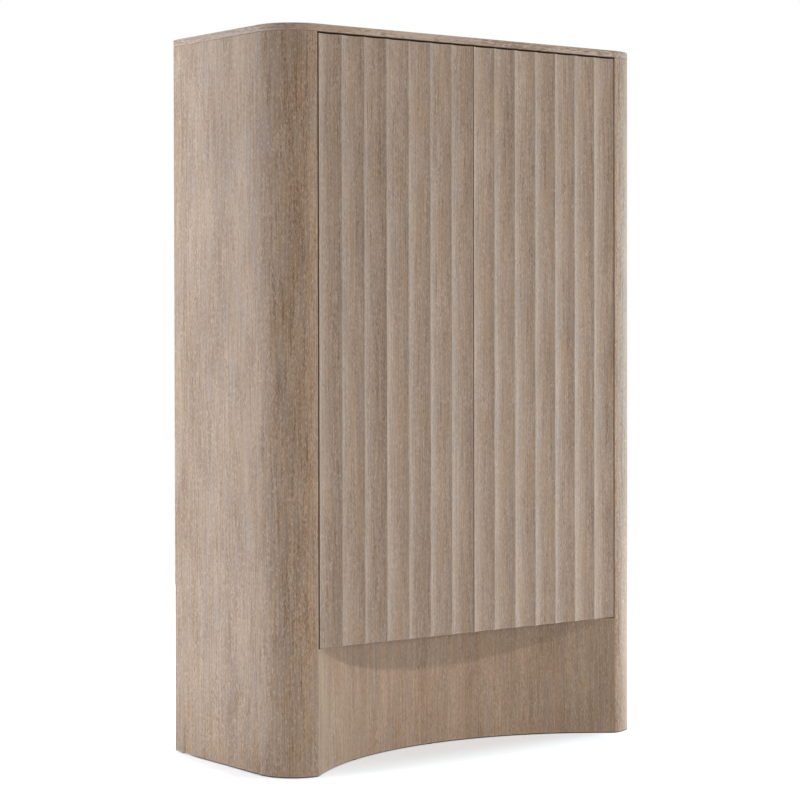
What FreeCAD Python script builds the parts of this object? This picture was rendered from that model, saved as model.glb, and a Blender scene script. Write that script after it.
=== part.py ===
import FreeCAD, Part
import math
import os

# Bar armoire: a tall two-door cabinet with rounded front corners, fluted doors
# and a base that is hollowed by one sweeping curve. Lengths are millimetres.
# The origin is on the floor at the middle of the footprint, X runs to the right,
# Y to the back and Z up, so the doors face negative Y.

V = FreeCAD.Vector

# Case
overall_width = 1226.0
overall_depth = 515.0
overall_height = 1905.0
corner_radius = 106.0
jamb_land = 1.5
jamb_bevel = 4.0
shell_thickness = 22.0
top_thickness = 19.0
top_edge_round = 1.2
jamb_round = 0.7
gable_thickness = 18.0
former_thickness = 18.0
upper_former_count = 4
base_former_count = 1
back_thickness = 9.0
back_inset = 6.0

# Base
recess_depth = 184.0
apron_thickness = 18.0
deck_height = 322.0
deck_thickness = 22.0
base_rail_thickness = 18.0
rib_thickness = 18.0
rib_spacing = 260.0
rib_count = 3
glide_radius = 8.0
glide_height = 3.0
glide_back_margin = 30.0
apron_glide_spacing = 300.0

# Doors
door_edge_gap = 4.0
door_centre_gap = 3.0
door_top_gap = 4.5
door_bottom_gap = 3.0
stave_thickness = 12.0
core_thickness = 16.0
flute_count = 7
flute_depth = 7.0
ridge_land = 0.7

# Hinges, each with one upright pin in a cup let into the door
hinge_count = 4
hinge_end_margin = 130.0
pivot_inset = 22.0
pin_radius = 2.0
eye_radius = 4.0
eye_clearance = 1.0
running_clearance = 0.06
arm_thickness = 5.0
arm_height = 16.0
root_thickness = 4.0
crank_thickness = 6.0
crank_clearance = 3.0
swing_clearance = 1.5
ear_gap = 1.5
ear_thickness = 3.5
cup_lead = 7.0
cup_throat = 6.5
cup_web = 3.5
plate_thickness = 3.0
plate_length = 50.0
plate_height = 36.0
screw_edge_margin = 5.0
screw_head_radius = 3.6
screw_head_height = 2.0
screw_radius = 1.8
screw_length = 14.0

# Push latches, door stop and bumpers
latch_rail_height = 50.0
latch_rail_thickness = 18.0
latch_offset = 40.0
housing_size = 14.0
housing_length = 46.0
housing_gap = 6.0
plunger_radius = 4.0
plunger_gap = 0.4
plunger_depth = 20.0
plunger_travel = 3.0
bore_spare = 2.0
strike_size = 22.0
strike_thickness = 1.5
stop_gap = 2.0
stop_end_margin = 50.0
bumper_radius = 5.0
bumper_gap = 0.3
bumper_end_margin = 60.0

# Bar fittings behind the doors
shelf_hinge_gap = 4.0
shelf_back_gap = 2.0
shelf_side_gap = 1.0
divider_thickness = 18.0
bar_shelf_height = 920.0
bar_shelf_thickness = 25.0
rack_shelf_height = 1330.0
rack_shelf_thickness = 22.0
lower_shelf_height = 625.0
lower_shelf_thickness = 19.0
glass_shelf_thickness = 8.0
shelf_pin_radius = 2.5
shelf_pin_length = 16.0
shelf_pin_margin = 45.0
pin_hole_pitch = 32.0
spare_pin_holes = 1
mirror_thickness = 4.0
mirror_margin = 1.0
cross_thickness = 12.0
cross_depth = 300.0
cross_setback = 10.0
rack_rail_count = 7
rack_rail_pitch = 110.0
rack_slat_width = 78.0
rack_slat_thickness = 10.0
rack_spacer_width = 20.0
rack_spacer_height = 18.0
rack_setback = 10.0
rack_back_gap = 20.0

# Wall rail with two holes at the usual distance between wall studs
wall_rail_height = 60.0
wall_rail_thickness = 18.0
wall_hole_spacing = 406.4
wall_hole_radius = 3.25
back_screw_spacing = 300.0
back_screw_count = 4
back_screw_length = 25.0

# Small allowances
glue_gap = 0.2
fit_gap = 0.1
overrun = 5.0

# Places that follow from the sizes above
half_width = overall_width / 2
front_y = -overall_depth / 2
back_y = overall_depth / 2
top_underside = overall_height - top_thickness
base_z = glide_height
deck_top = deck_height + deck_thickness
corner_x = half_width - corner_radius
corner_y = front_y + corner_radius
inner_x = half_width - shell_thickness
inner_radius = corner_radius - shell_thickness
jamb_x = corner_x - jamb_land
gable_inner = jamb_x + jamb_bevel
gable_outer = gable_inner + gable_thickness
panel_back = back_y - back_inset
panel_face = panel_back - back_thickness
base_rail_face = panel_face - base_rail_thickness
apron_radius = (jamb_x ** 2 + recess_depth ** 2) / (2 * recess_depth)
apron_centre_y = front_y + recess_depth - apron_radius
apron_back_radius = apron_radius + apron_thickness
stave_back = front_y + stave_thickness
door_back = stave_back + core_thickness
door_bottom = deck_height + door_bottom_gap
door_top = top_underside - door_top_gap
door_outer = jamb_x - door_edge_gap
door_inner = door_centre_gap / 2
pivot_x = door_outer - pivot_inset
pivot_y = stave_back + eye_radius + eye_clearance
swing_radius = math.hypot(pivot_inset, pivot_y - front_y)
deck_front = pivot_y + swing_radius + swing_clearance
crank_front = pivot_y + swing_radius + crank_clearance
crank_back = crank_front + crank_thickness
plate_face = gable_inner - plate_thickness
plate_back = crank_front + plate_length
cup_half_height = arm_height / 2 + ear_gap + ear_thickness
hinge_span = door_top - door_bottom - 2 * hinge_end_margin
hinge_heights = [
    door_bottom + hinge_end_margin + index * hinge_span / (hinge_count - 1)
    for index in range(hinge_count)
]
latch_rail_bottom = top_underside - latch_rail_height
latch_z = latch_rail_bottom - housing_size / 2
housing_front = door_back + housing_gap
shelf_front = plate_back + shelf_hinge_gap
shelf_back = panel_face - shelf_back_gap
divider_face = divider_thickness / 2
bar_shelf_top = bar_shelf_height + bar_shelf_thickness
rack_shelf_top = rack_shelf_height + rack_shelf_thickness
glass_shelf_height = (rack_shelf_top + top_underside - glass_shelf_thickness) / 2
wall_rail_bottom = top_underside - wall_rail_height
wall_rail_face = panel_face - wall_rail_thickness


def block(x_low, x_high, y_low, y_high, z_low, z_high):
    """Return the upright block between the given limits."""
    size = V(x_high - x_low, y_high - y_low, z_high - z_low)
    return Part.makeBox(size.x, size.y, size.z, V(x_low, y_low, z_low))


def rod(radius, start, end):
    """Return a round rod from one point to another."""
    along = end - start
    return Part.makeCylinder(radius, along.Length, start, along)


def line(start, end):
    """Return a straight edge between two (x, y) points of a plan."""
    return Part.LineSegment(V(*start, 0), V(*end, 0)).toShape()


def arc(start, through, end):
    """Return the arc of a plan that runs through three (x, y) points."""
    return Part.Arc(V(*start, 0), V(*through, 0), V(*end, 0)).toShape()


def on_circle(centre, radius, angle):
    """Return the (x, y) point of a circle at an angle in radians."""
    return (centre[0] + radius * math.cos(angle), centre[1] + radius * math.sin(angle))


def upright(edges, low, high):
    """Return the solid that a closed plan outline fills between two heights."""
    face = Part.Face(Part.Wire(edges))
    face.translate(V(0, 0, low))
    return face.extrude(V(0, 0, high - low))


def mirrored(shape):
    """Return the left-hand twin of a right-hand piece."""
    return shape.mirror(V(0, 0, 0), V(1, 0, 0))


def group(shapes):
    """Return separate solids as one compound."""
    return Part.makeCompound(shapes)


def spaced(count, spacing):
    """Return evenly spaced places about the middle line."""
    return [(index - (count - 1) / 2) * spacing for index in range(count)]


def shell_inside(x):
    """Return the depth at which the curved corner's inner face stands at this x."""
    return corner_y - math.sqrt(inner_radius ** 2 - (x - corner_x) ** 2)


def corner_plan():
    """Return the rounded corner's outer edge, from the flat side to the front."""
    centre = (corner_x, corner_y)
    start = (half_width, corner_y)
    through = on_circle(centre, corner_radius, -math.pi / 4)
    return start, through, (corner_x, front_y)


def make_top():
    """Return the slab that covers the case, with its outline edges softened."""
    start, through, end = corner_plan()
    left_start, left_through, left_end = [(-x, y) for x, y in (start, through, end)]
    edges = [
        line((half_width, back_y), start),
        arc(start, through, end),
        line(end, left_end),
        arc(left_end, left_through, left_start),
        line(left_start, (-half_width, back_y)),
        line((-half_width, back_y), (half_width, back_y)),
    ]
    slab = upright(edges, top_underside, overall_height)
    rims = [edge for edge in slab.Edges if abs(edge.BoundBox.ZLength) < fit_gap]
    return slab.makeFillet(top_edge_round, rims)


def make_shell():
    """Return the right side: a flat panel that bends round the front corner to the jamb."""
    start, through, end = corner_plan()
    jamb_back = (gable_inner, shell_inside(gable_inner))
    inner_through = on_circle((corner_x, corner_y), inner_radius, -math.pi / 4)
    edges = [
        line((half_width, back_y), start),
        arc(start, through, end),
        line(end, (jamb_x, front_y)),
        line((jamb_x, front_y), jamb_back),
        arc(jamb_back, inner_through, (inner_x, corner_y)),
        line((inner_x, corner_y), (inner_x, back_y)),
        line((inner_x, back_y), (half_width, back_y)),
    ]
    shell = upright(edges, base_z, top_underside)
    nose = [
        edge
        for edge in shell.Edges
        if edge.BoundBox.ZLength > deck_height
        and math.hypot(edge.BoundBox.XMin - jamb_x, edge.BoundBox.YMin - front_y) < fit_gap
    ]
    return shell.makeFillet(jamb_round, nose)


def corner_fill(inner_edge, back_edge, low, high):
    """Return a board that fills the inside of the right corner up to an inner edge."""
    radius = inner_radius - glue_gap
    centre = (corner_x, corner_y)
    side_x = corner_x + radius
    depth = corner_y - math.sqrt(radius ** 2 - (inner_edge - corner_x) ** 2)
    end_angle = math.atan2(depth - corner_y, inner_edge - corner_x)
    edges = [
        line((inner_edge, back_edge), (side_x, back_edge)),
        line((side_x, back_edge), (side_x, corner_y)),
        arc((side_x, corner_y), on_circle(centre, radius, end_angle / 2), (inner_edge, depth)),
        line((inner_edge, depth), (inner_edge, back_edge)),
    ]
    return upright(edges, low, high)


def make_formers():
    """Return the right corner's formers, level boards that the bent side is glued round."""
    formers = []
    spans = ((base_z, deck_height, base_former_count), (deck_top, top_underside, upper_former_count))
    for low, high, count in spans:
        pitch = (high - low) / (count + 1)
        for index in range(count):
            middle = low + (index + 1) * pitch
            half = former_thickness / 2
            formers.append(corner_fill(gable_outer, base_rail_face, middle - half, middle + half))
    return group(formers)


def make_gable():
    """Return the right inner side, drilled for hinge screws and shelf pins."""
    front = shell_inside(gable_outer) + glue_gap
    gable = block(gable_inner, gable_outer, front, panel_face, deck_top, top_underside)
    heights = hole_heights(lower_shelf_height) + hole_heights(glass_shelf_height)
    drills = screw_rods(screw_radius + fit_gap) + pin_holes(gable_inner, 1, heights)
    return gable.cut(drills)


def make_deck():
    """Return the cabinet floor, which fills the case behind the doors."""
    radius = inner_radius - glue_gap
    centre = (corner_x, corner_y)
    side_x = corner_x + radius
    front_x = corner_x + math.sqrt(radius ** 2 - (corner_y - deck_front) ** 2)
    end_angle = math.atan2(deck_front - corner_y, front_x - corner_x)
    through = on_circle(centre, radius, end_angle / 2)
    edges = [
        line((side_x, panel_face), (side_x, corner_y)),
        arc((side_x, corner_y), through, (front_x, deck_front)),
        line((front_x, deck_front), (-front_x, deck_front)),
        arc((-front_x, deck_front), (-through[0], through[1]), (-side_x, corner_y)),
        line((-side_x, corner_y), (-side_x, panel_face)),
        line((-side_x, panel_face), (side_x, panel_face)),
    ]
    return upright(edges, deck_height, deck_top)


def make_apron(shells):
    """Return the hollow-curved base front, which ends against the two jambs."""
    height = deck_height - base_z
    foot = V(0, apron_centre_y, base_z)
    band = Part.makeCylinder(apron_back_radius, height, foot)
    band = band.cut(Part.makeCylinder(apron_radius, height, foot))
    limits = block(-gable_inner, gable_inner, front_y, panel_face, base_z, deck_height)
    band = band.common(limits)
    return max(band.cut(shells).Solids, key=lambda solid: solid.Volume)


def make_ribs():
    """Return the upright ribs between the apron's back and the rear rail."""
    reach = Part.makeCylinder(apron_back_radius + glue_gap, overall_height, V(0, apron_centre_y, 0))
    half = rib_thickness / 2
    ribs = []
    for middle in spaced(rib_count, rib_spacing):
        rib = block(middle - half, middle + half, front_y, base_rail_face, base_z, deck_height)
        ribs.append(rib.cut(reach))
    return group(ribs)


def make_base_rail():
    """Return the rail that closes the back of the base."""
    rail = block(-inner_x, inner_x, base_rail_face, panel_face, base_z, deck_height)
    return rail.cut(back_screw_rods(screw_radius + fit_gap))


def make_glides():
    """Return the floor glides under the sides, the apron and the rear rail."""
    shell_middle = half_width - shell_thickness / 2
    rows = (back_y - glide_back_margin, corner_y)
    places = [(side * shell_middle, row) for side in (-1, 1) for row in rows]
    apron_middle = apron_radius + apron_thickness / 2
    for x in spaced(rib_count, apron_glide_spacing):
        places.append((x, apron_centre_y + math.sqrt(apron_middle ** 2 - x ** 2)))
    places.append((0, base_rail_face + base_rail_thickness / 2))
    return group([rod(glide_radius, V(x, y, 0), V(x, y, base_z)) for x, y in places])


def make_back():
    """Return the back panel with its screw holes and wall holes."""
    panel = block(-inner_x, inner_x, panel_face, panel_back, base_z, top_underside)
    return panel.cut(back_screw_rods(screw_radius + fit_gap) + wall_hole_rods())


def make_wall_rail():
    """Return the rail under the top at the back, which takes the wall fixings."""
    rail = block(-gable_inner, gable_inner, wall_rail_face, panel_face, wall_rail_bottom, top_underside)
    return rail.cut(back_screw_rods(screw_radius + fit_gap) + wall_hole_rods())


def wall_hole_rods():
    """Return rods in the place of the wall fixing holes."""
    height = wall_rail_bottom + wall_rail_height / 2
    start = wall_rail_face - overrun
    end = panel_back + overrun
    return [rod(wall_hole_radius, V(x, start, height), V(x, end, height)) for x in spaced(2, wall_hole_spacing)]


def back_screw_rods(radius):
    """Return the shanks of the screws that hold the back panel to its rails."""
    rods = []
    for height in (deck_height / 2, wall_rail_bottom + wall_rail_height / 2):
        for x in spaced(back_screw_count, back_screw_spacing):
            rods.append(rod(radius, V(x, panel_back - back_screw_length, height), V(x, panel_back, height)))
    return rods


def make_back_screws():
    """Return the back panel's screws, with their heads on the panel."""
    screws = []
    for shank in back_screw_rods(screw_radius):
        middle = shank.BoundBox.Center
        start = V(middle.x, panel_back, middle.z)
        head = rod(screw_head_radius, start, start + V(0, screw_head_height, 0))
        screws.append(head.fuse(shank))
    return group(screws)


def make_latch_rail():
    """Return the rail under the top that stands behind the doors."""
    back = deck_front + latch_rail_thickness
    return block(-gable_inner, gable_inner, deck_front, back, latch_rail_bottom, top_underside)


def make_door_stop():
    """Return the strip on the cabinet floor's front edge that the doors close against."""
    half = jamb_x - stop_end_margin
    return block(-half, half, door_back + stop_gap, deck_front, deck_height, deck_top)


def make_bumpers():
    """Return the rubber dots on the door stop, two behind each door."""
    height = deck_height + deck_thickness / 2
    far = jamb_x - stop_end_margin - bumper_end_margin
    start = door_back + bumper_gap
    end = door_back + stop_gap
    places = (-far, -bumper_end_margin, bumper_end_margin, far)
    return group([rod(bumper_radius, V(x, start, height), V(x, end, height)) for x in places])


def make_staves():
    """Return the right door's staves, each with one shallow cove in its face."""
    width = (door_outer - door_inner) / flute_count
    staves = []
    for index in range(flute_count):
        left = door_inner + index * width
        right = left + width
        cove_start = (left + ridge_land, front_y)
        cove_end = (right - ridge_land, front_y)
        edges = [
            line((left, stave_back), (left, front_y)),
            line((left, front_y), cove_start),
            arc(cove_start, ((left + right) / 2, front_y + flute_depth), cove_end),
            line(cove_end, (right, front_y)),
            line((right, front_y), (right, stave_back)),
            line((right, stave_back), (left, stave_back)),
        ]
        staves.append(upright(edges, door_bottom, door_top))
    return group(staves)


def make_core():
    """Return the right door's flat core, cut for the hinge cups and the latch's strike."""
    core = block(door_inner, door_outer, stave_back, door_back, door_bottom, door_top)
    notch_start = pivot_x - cup_throat - cup_web - fit_gap
    notch_half = cup_half_height + fit_gap
    back = door_back + overrun
    cuts = []
    for height in hinge_heights:
        low = height - notch_half
        high = height + notch_half
        cuts.append(block(notch_start, door_outer + overrun, stave_back - overrun, back, low, high))
    half = strike_size / 2 + fit_gap
    left = latch_offset - half
    right = latch_offset + half
    floor = door_back - strike_thickness
    cuts.append(block(left, right, floor, back, latch_z - half, latch_z + half))
    return core.cut(cuts)


def make_strike():
    """Return the steel plate that the right latch's plunger holds."""
    half = strike_size / 2
    left = latch_offset - half
    right = latch_offset + half
    return block(left, right, door_back - strike_thickness, door_back, latch_z - half, latch_z + half)


def make_cups():
    """Return the right door's hinge cups: a web and two ears that hold the pin."""
    web_start = pivot_x - cup_throat - cup_web
    throat = pivot_x - cup_throat
    lead = pivot_x + cup_lead
    gap_half = arm_height / 2 + ear_gap
    cups = []
    for height in hinge_heights:
        low = height - cup_half_height
        high = height + cup_half_height
        cup = block(web_start, lead, stave_back, door_back, low, high)
        gap = block(
            throat, lead + overrun, stave_back - overrun, door_back + overrun,
            height - gap_half, height + gap_half,
        )
        hole = rod(pin_radius + running_clearance, V(pivot_x, pivot_y, low), V(pivot_x, pivot_y, high))
        cups.append(cup.cut([gap, hole]))
    return group(cups)


def make_pins():
    """Return the right door's hinge pins, on the line that the door turns about."""
    pins = []
    for height in hinge_heights:
        low = V(pivot_x, pivot_y, height - cup_half_height)
        high = V(pivot_x, pivot_y, height + cup_half_height)
        pins.append(rod(pin_radius, low, high))
    return group(pins)


def make_arms():
    """Return the right side's hinge arms, cranked from the gable to an eye round the pin."""
    half = arm_thickness / 2
    arms = []
    for height in hinge_heights:
        low = height - arm_height / 2
        high = height + arm_height / 2
        foot = V(pivot_x, pivot_y, low)
        head = V(pivot_x, pivot_y, high)
        bar = block(pivot_x - half, pivot_x + half, pivot_y, crank_back, low, high)
        crank = block(pivot_x - half, plate_face, crank_front, crank_back, low, high)
        root = block(plate_face - root_thickness, plate_face, crank_front, plate_back, low, high)
        arm = rod(eye_radius, foot, head).fuse([bar, crank, root])
        arm = arm.cut(rod(pin_radius + running_clearance, foot, head))
        arms.append(arm.removeSplitter())
    return group(arms)


def make_plates():
    """Return the right side's hinge plates on the gable."""
    half = plate_height / 2
    plates = []
    for height in hinge_heights:
        low = height - half
        high = height + half
        plates.append(block(plate_face, gable_inner, crank_front, plate_back, low, high))
    drills = screw_rods(screw_radius + fit_gap)
    return group([plate.cut(drills) for plate in plates])


def screw_rods(radius):
    """Return the shanks of the right side's hinge screws."""
    middle = crank_front + plate_length / 2
    reach = plate_height / 2 - screw_edge_margin
    rods = []
    for height in hinge_heights:
        for z in (height - reach, height + reach):
            start = V(plate_face, middle, z)
            rods.append(rod(radius, start, start + V(screw_length, 0, 0)))
    return rods


def make_hinge_screws():
    """Return the right side's hinge screws, with their heads on the plates."""
    screws = []
    for shank in screw_rods(screw_radius):
        middle = shank.BoundBox.Center
        seat = V(plate_face, middle.y, middle.z)
        head = rod(screw_head_radius, seat - V(screw_head_height, 0, 0), seat)
        screws.append(head.fuse(shank))
    return group(screws)


def make_housings():
    """Return the two push latch housings under the front rail."""
    half = housing_size / 2
    depth = plunger_depth + plunger_travel + bore_spare
    housings = []
    for x in (-latch_offset, latch_offset):
        back = housing_front + housing_length
        body = block(x - half, x + half, housing_front, back, latch_z - half, latch_z + half)
        start = V(x, housing_front, latch_z)
        bore = rod(plunger_radius + running_clearance, start, start + V(0, depth, 0))
        housings.append(body.cut(bore))
    return group(housings)


def make_plunger():
    """Return the right latch's sprung plunger, just short of its strike."""
    start = V(latch_offset, door_back + plunger_gap, latch_z)
    return rod(plunger_radius, start, V(latch_offset, housing_front + plunger_depth, latch_z))


def make_shelf(low, thickness, left, right, back):
    """Return a level board between two upright faces."""
    return block(left, right, shelf_front, back, low, low + thickness)


def make_lower_divider():
    """Return the upright between the cabinet floor and the bar shelf."""
    board = block(-divider_face, divider_face, shelf_front, panel_face, deck_top, bar_shelf_height)
    return board.cut(pin_holes(divider_face, -1, hole_heights(lower_shelf_height)))


def make_upper_divider(wall_rail):
    """Return the upright between the rack shelf and the top, notched round the wall rail."""
    board = block(-divider_face, divider_face, shelf_front, panel_face, rack_shelf_top, top_underside)
    right_holes = pin_holes(divider_face, -1, hole_heights(glass_shelf_height))
    left_holes = [mirrored(hole) for hole in right_holes]
    return board.cut([wall_rail] + right_holes + left_holes)


def hole_heights(shelf_height):
    """Return the heights of the pin holes that serve an adjustable shelf."""
    middle = shelf_height - shelf_pin_radius
    steps = range(-spare_pin_holes, spare_pin_holes + 1)
    return [middle + step * pin_hole_pitch for step in steps]


def pin_rows():
    """Return the front and back lines of the shelf pins."""
    return shelf_front + shelf_pin_margin, shelf_back - shelf_pin_margin


def pin_holes(face, inward, heights):
    """Return rods in the place of shelf pin holes, bored from a face along X or against it."""
    depth = inward * shelf_pin_length / 2
    holes = []
    for height in heights:
        for y in pin_rows():
            start = V(face, y, height)
            holes.append(rod(shelf_pin_radius + fit_gap, start, start + V(depth, 0, 0)))
    return holes


def shelf_pins(height, left, right):
    """Return the four pins under a shelf that hangs between two upright faces."""
    half = shelf_pin_length / 2
    z = height - shelf_pin_radius
    pins = []
    for face in (left, right):
        for y in pin_rows():
            pins.append(rod(shelf_pin_radius, V(face - half, y, z), V(face + half, y, z)))
    return pins


def make_shelf_pins():
    """Return the pins of the adjustable shelf and of both glass shelves."""
    pins = shelf_pins(lower_shelf_height, divider_face, gable_inner)
    pins += shelf_pins(glass_shelf_height, divider_face, gable_inner)
    pins += shelf_pins(glass_shelf_height, -gable_inner, -divider_face)
    return group(pins)


def cross_strip(rising):
    """Return one diagonal of the bottle cross as a board across the left lower bay."""
    width = gable_inner - divider_face
    height = bar_shelf_height - deck_top
    length = 2 * math.hypot(width, height)
    front = shelf_front + cross_setback
    strip = block(-length / 2, length / 2, front, front + cross_depth, -cross_thickness / 2, cross_thickness / 2)
    angle = math.degrees(math.atan2(height, width))
    strip.rotate(V(0, 0, 0), V(0, -1, 0), angle if rising else -angle)
    strip.translate(V(-(gable_inner + divider_face) / 2, 0, (deck_top + bar_shelf_height) / 2))
    bay = block(-gable_inner, -divider_face, front, front + cross_depth, deck_top, bar_shelf_height)
    return strip.common(bay)


def make_rack(width, low, high):
    """Return one layer of the stemware rack, a row of slats that run front to back."""
    front = shelf_front + rack_setback
    back = panel_face - mirror_thickness - rack_back_gap
    half = width / 2
    rails = []
    for x in spaced(rack_rail_count, rack_rail_pitch):
        rails.append(block(x - half, x + half, front, back, low, high))
    return group(rails)


def make_mirror():
    """Return the mirror on the back panel between the bar shelf and the rack shelf."""
    half = gable_inner - mirror_margin
    front = panel_face - mirror_thickness
    low = bar_shelf_top + mirror_margin
    return block(-half, half, front, panel_face, low, rack_shelf_height - mirror_margin)


def build():
    """Return every piece of the armoire by its name."""
    right_shell = make_shell()
    left_shell = mirrored(right_shell)
    wall_rail = make_wall_rail()
    long_cross = cross_strip(True)
    slat_top = rack_shelf_height - rack_spacer_height
    slat_low = slat_top - rack_slat_thickness
    shelf_left = divider_face + shelf_side_gap
    shelf_right = gable_inner - shelf_side_gap
    glass_shelf = make_shelf(glass_shelf_height, glass_shelf_thickness, shelf_left, shelf_right, shelf_back)
    pieces = {
        "top_panel": make_top(),
        "left_side_shell": left_shell,
        "right_side_shell": right_shell,
        "cabinet_floor": make_deck(),
        "base_apron": make_apron([left_shell, right_shell]),
        "base_ribs": make_ribs(),
        "base_rear_rail": make_base_rail(),
        "floor_glides": make_glides(),
        "back_panel": make_back(),
        "back_panel_screws": make_back_screws(),
        "wall_rail": wall_rail,
        "latch_rail": make_latch_rail(),
        "door_stop": make_door_stop(),
        "door_bumpers": make_bumpers(),
        "latch_housings": make_housings(),
        "bar_shelf": make_shelf(
            bar_shelf_height, bar_shelf_thickness, -gable_inner, gable_inner, panel_face
        ),
        "rack_shelf": make_shelf(
            rack_shelf_height, rack_shelf_thickness, -gable_inner, gable_inner, panel_face
        ),
        "lower_shelf": make_shelf(
            lower_shelf_height, lower_shelf_thickness, shelf_left, shelf_right, shelf_back
        ),
        "right_glass_shelf": glass_shelf,
        "left_glass_shelf": mirrored(glass_shelf),
        "shelf_pins": make_shelf_pins(),
        "lower_divider": make_lower_divider(),
        "upper_divider": make_upper_divider(wall_rail),
        "bottle_cross_long": long_cross,
        "bottle_cross_halves": cross_strip(False).cut(long_cross),
        "glass_rack_spacers": make_rack(rack_spacer_width, slat_top, rack_shelf_height),
        "glass_rack_slats": make_rack(rack_slat_width, slat_low, slat_top),
        "mirror_panel": make_mirror(),
    }
    twins = {
        "corner_formers": make_formers(),
        "gable": make_gable(),
        "door_staves": make_staves(),
        "door_core": make_core(),
        "door_strike": make_strike(),
        "hinge_cups": make_cups(),
        "hinge_pins": make_pins(),
        "hinge_arms": make_arms(),
        "hinge_plates": make_plates(),
        "hinge_screws": make_hinge_screws(),
        "latch_plunger": make_plunger(),
    }
    for name, shape in twins.items():
        pieces["right_" + name] = shape
        pieces["left_" + name] = mirrored(shape)
    return pieces


os.makedirs("parts", exist_ok=True)
for node, piece in build().items():
    piece.exportStep("parts/" + node + ".step")
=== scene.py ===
"""The bar armoire's finishes, softened edges, studio light and camera.

Lengths are metres. The origin is on the floor at the middle of the footprint, X runs to the right, Y to the
back and Z up, so the doors face negative Y.
"""

import logging
import math
from collections.abc import Iterable
from dataclasses import dataclass, replace
from enum import Enum
from typing import ClassVar

import bpy
import numpy as np
from mathutils import Matrix, Vector


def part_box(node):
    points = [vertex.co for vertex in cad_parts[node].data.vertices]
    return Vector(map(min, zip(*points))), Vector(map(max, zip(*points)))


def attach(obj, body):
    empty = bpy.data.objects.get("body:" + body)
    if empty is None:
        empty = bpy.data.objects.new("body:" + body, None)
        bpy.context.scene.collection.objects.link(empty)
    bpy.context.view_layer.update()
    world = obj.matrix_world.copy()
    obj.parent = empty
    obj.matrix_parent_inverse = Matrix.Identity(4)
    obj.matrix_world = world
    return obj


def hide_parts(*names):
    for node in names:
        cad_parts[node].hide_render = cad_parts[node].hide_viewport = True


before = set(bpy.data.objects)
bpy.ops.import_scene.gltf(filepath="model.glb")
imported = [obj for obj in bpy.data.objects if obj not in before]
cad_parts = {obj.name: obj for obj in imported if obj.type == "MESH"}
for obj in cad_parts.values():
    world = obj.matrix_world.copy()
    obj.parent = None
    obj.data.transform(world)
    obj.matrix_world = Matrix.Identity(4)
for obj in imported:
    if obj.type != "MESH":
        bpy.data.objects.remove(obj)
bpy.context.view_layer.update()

Array = np.ndarray
Node = bpy.types.Node
Socket = bpy.types.NodeSocket
Piece = bpy.types.Object
Rgb = tuple[int, int, int]
Rgba = tuple[float, float, float, float]
Point = tuple[float, float, float]
Spot = tuple[float, float]
Row = tuple[float, ...]
Feed = Socket | float | Row

WHITE: Rgba = (1.0, 1.0, 1.0, 1.0)

log = logging.getLogger("armoire")


class Side(Enum):
    """A hand of the cabinet, with the sign of its X."""

    LEFT = -1
    RIGHT = 1

    @property
    def word(self) -> str:
        """The hand as node names write it."""
        return self.name.lower()


class Grain(Enum):
    """The way the wood runs, as the order of X, Y and Z that puts the run last."""

    ALONG_X = (1, 2, 0)
    ALONG_Y = (2, 0, 1)
    ALONG_Z = (0, 1, 2)


class Swing(Enum):
    """Where a surface's upright axis is swung to, as the old axes that X, Y and Z take."""

    UP_TO_X = (2, 0, 1)
    UP_TO_Y = (1, 2, 0)


@dataclass(frozen=True)
class CaseSizes:
    """The sizes of the case that more than one sub-assembly goes by."""

    half_width: float = 0.613
    half_depth: float = 0.2575
    corner_radius: float = 0.106
    jamb: float = 0.5055
    foot: float = 0.003
    recess: float = 0.184

    @property
    def front(self) -> float:
        """Where the jambs and the doors' ridges stand in Y."""
        return -self.half_depth

    @property
    def hollow_radius(self) -> float:
        """The radius of the base's hollow: (jamb squared + recess squared) / (2 recess)."""
        return (self.jamb ** 2 + self.recess ** 2) / (2 * self.recess)

    @property
    def hollow_middle(self) -> float:
        """Where in Y the hollow's arc has its middle."""
        return self.front + self.recess - self.hollow_radius


def linear(colour: Rgb) -> Rgba:
    """Turn a colour as seen on a screen into the shader's light values.

    The screen's curve is a straight line up to 0.04045, and a power of 2.4 above that.

    Args:
        colour: red, green and blue from 0 to 255.

    Returns:
        The same colour in linear light, with full alpha.
    """
    seen = np.asarray(colour) / 255
    light = np.where(seen <= 0.04045, seen / 12.92, ((seen + 0.055) / 1.055) ** 2.4)
    return (*light.tolist(), 1.0)


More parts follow.
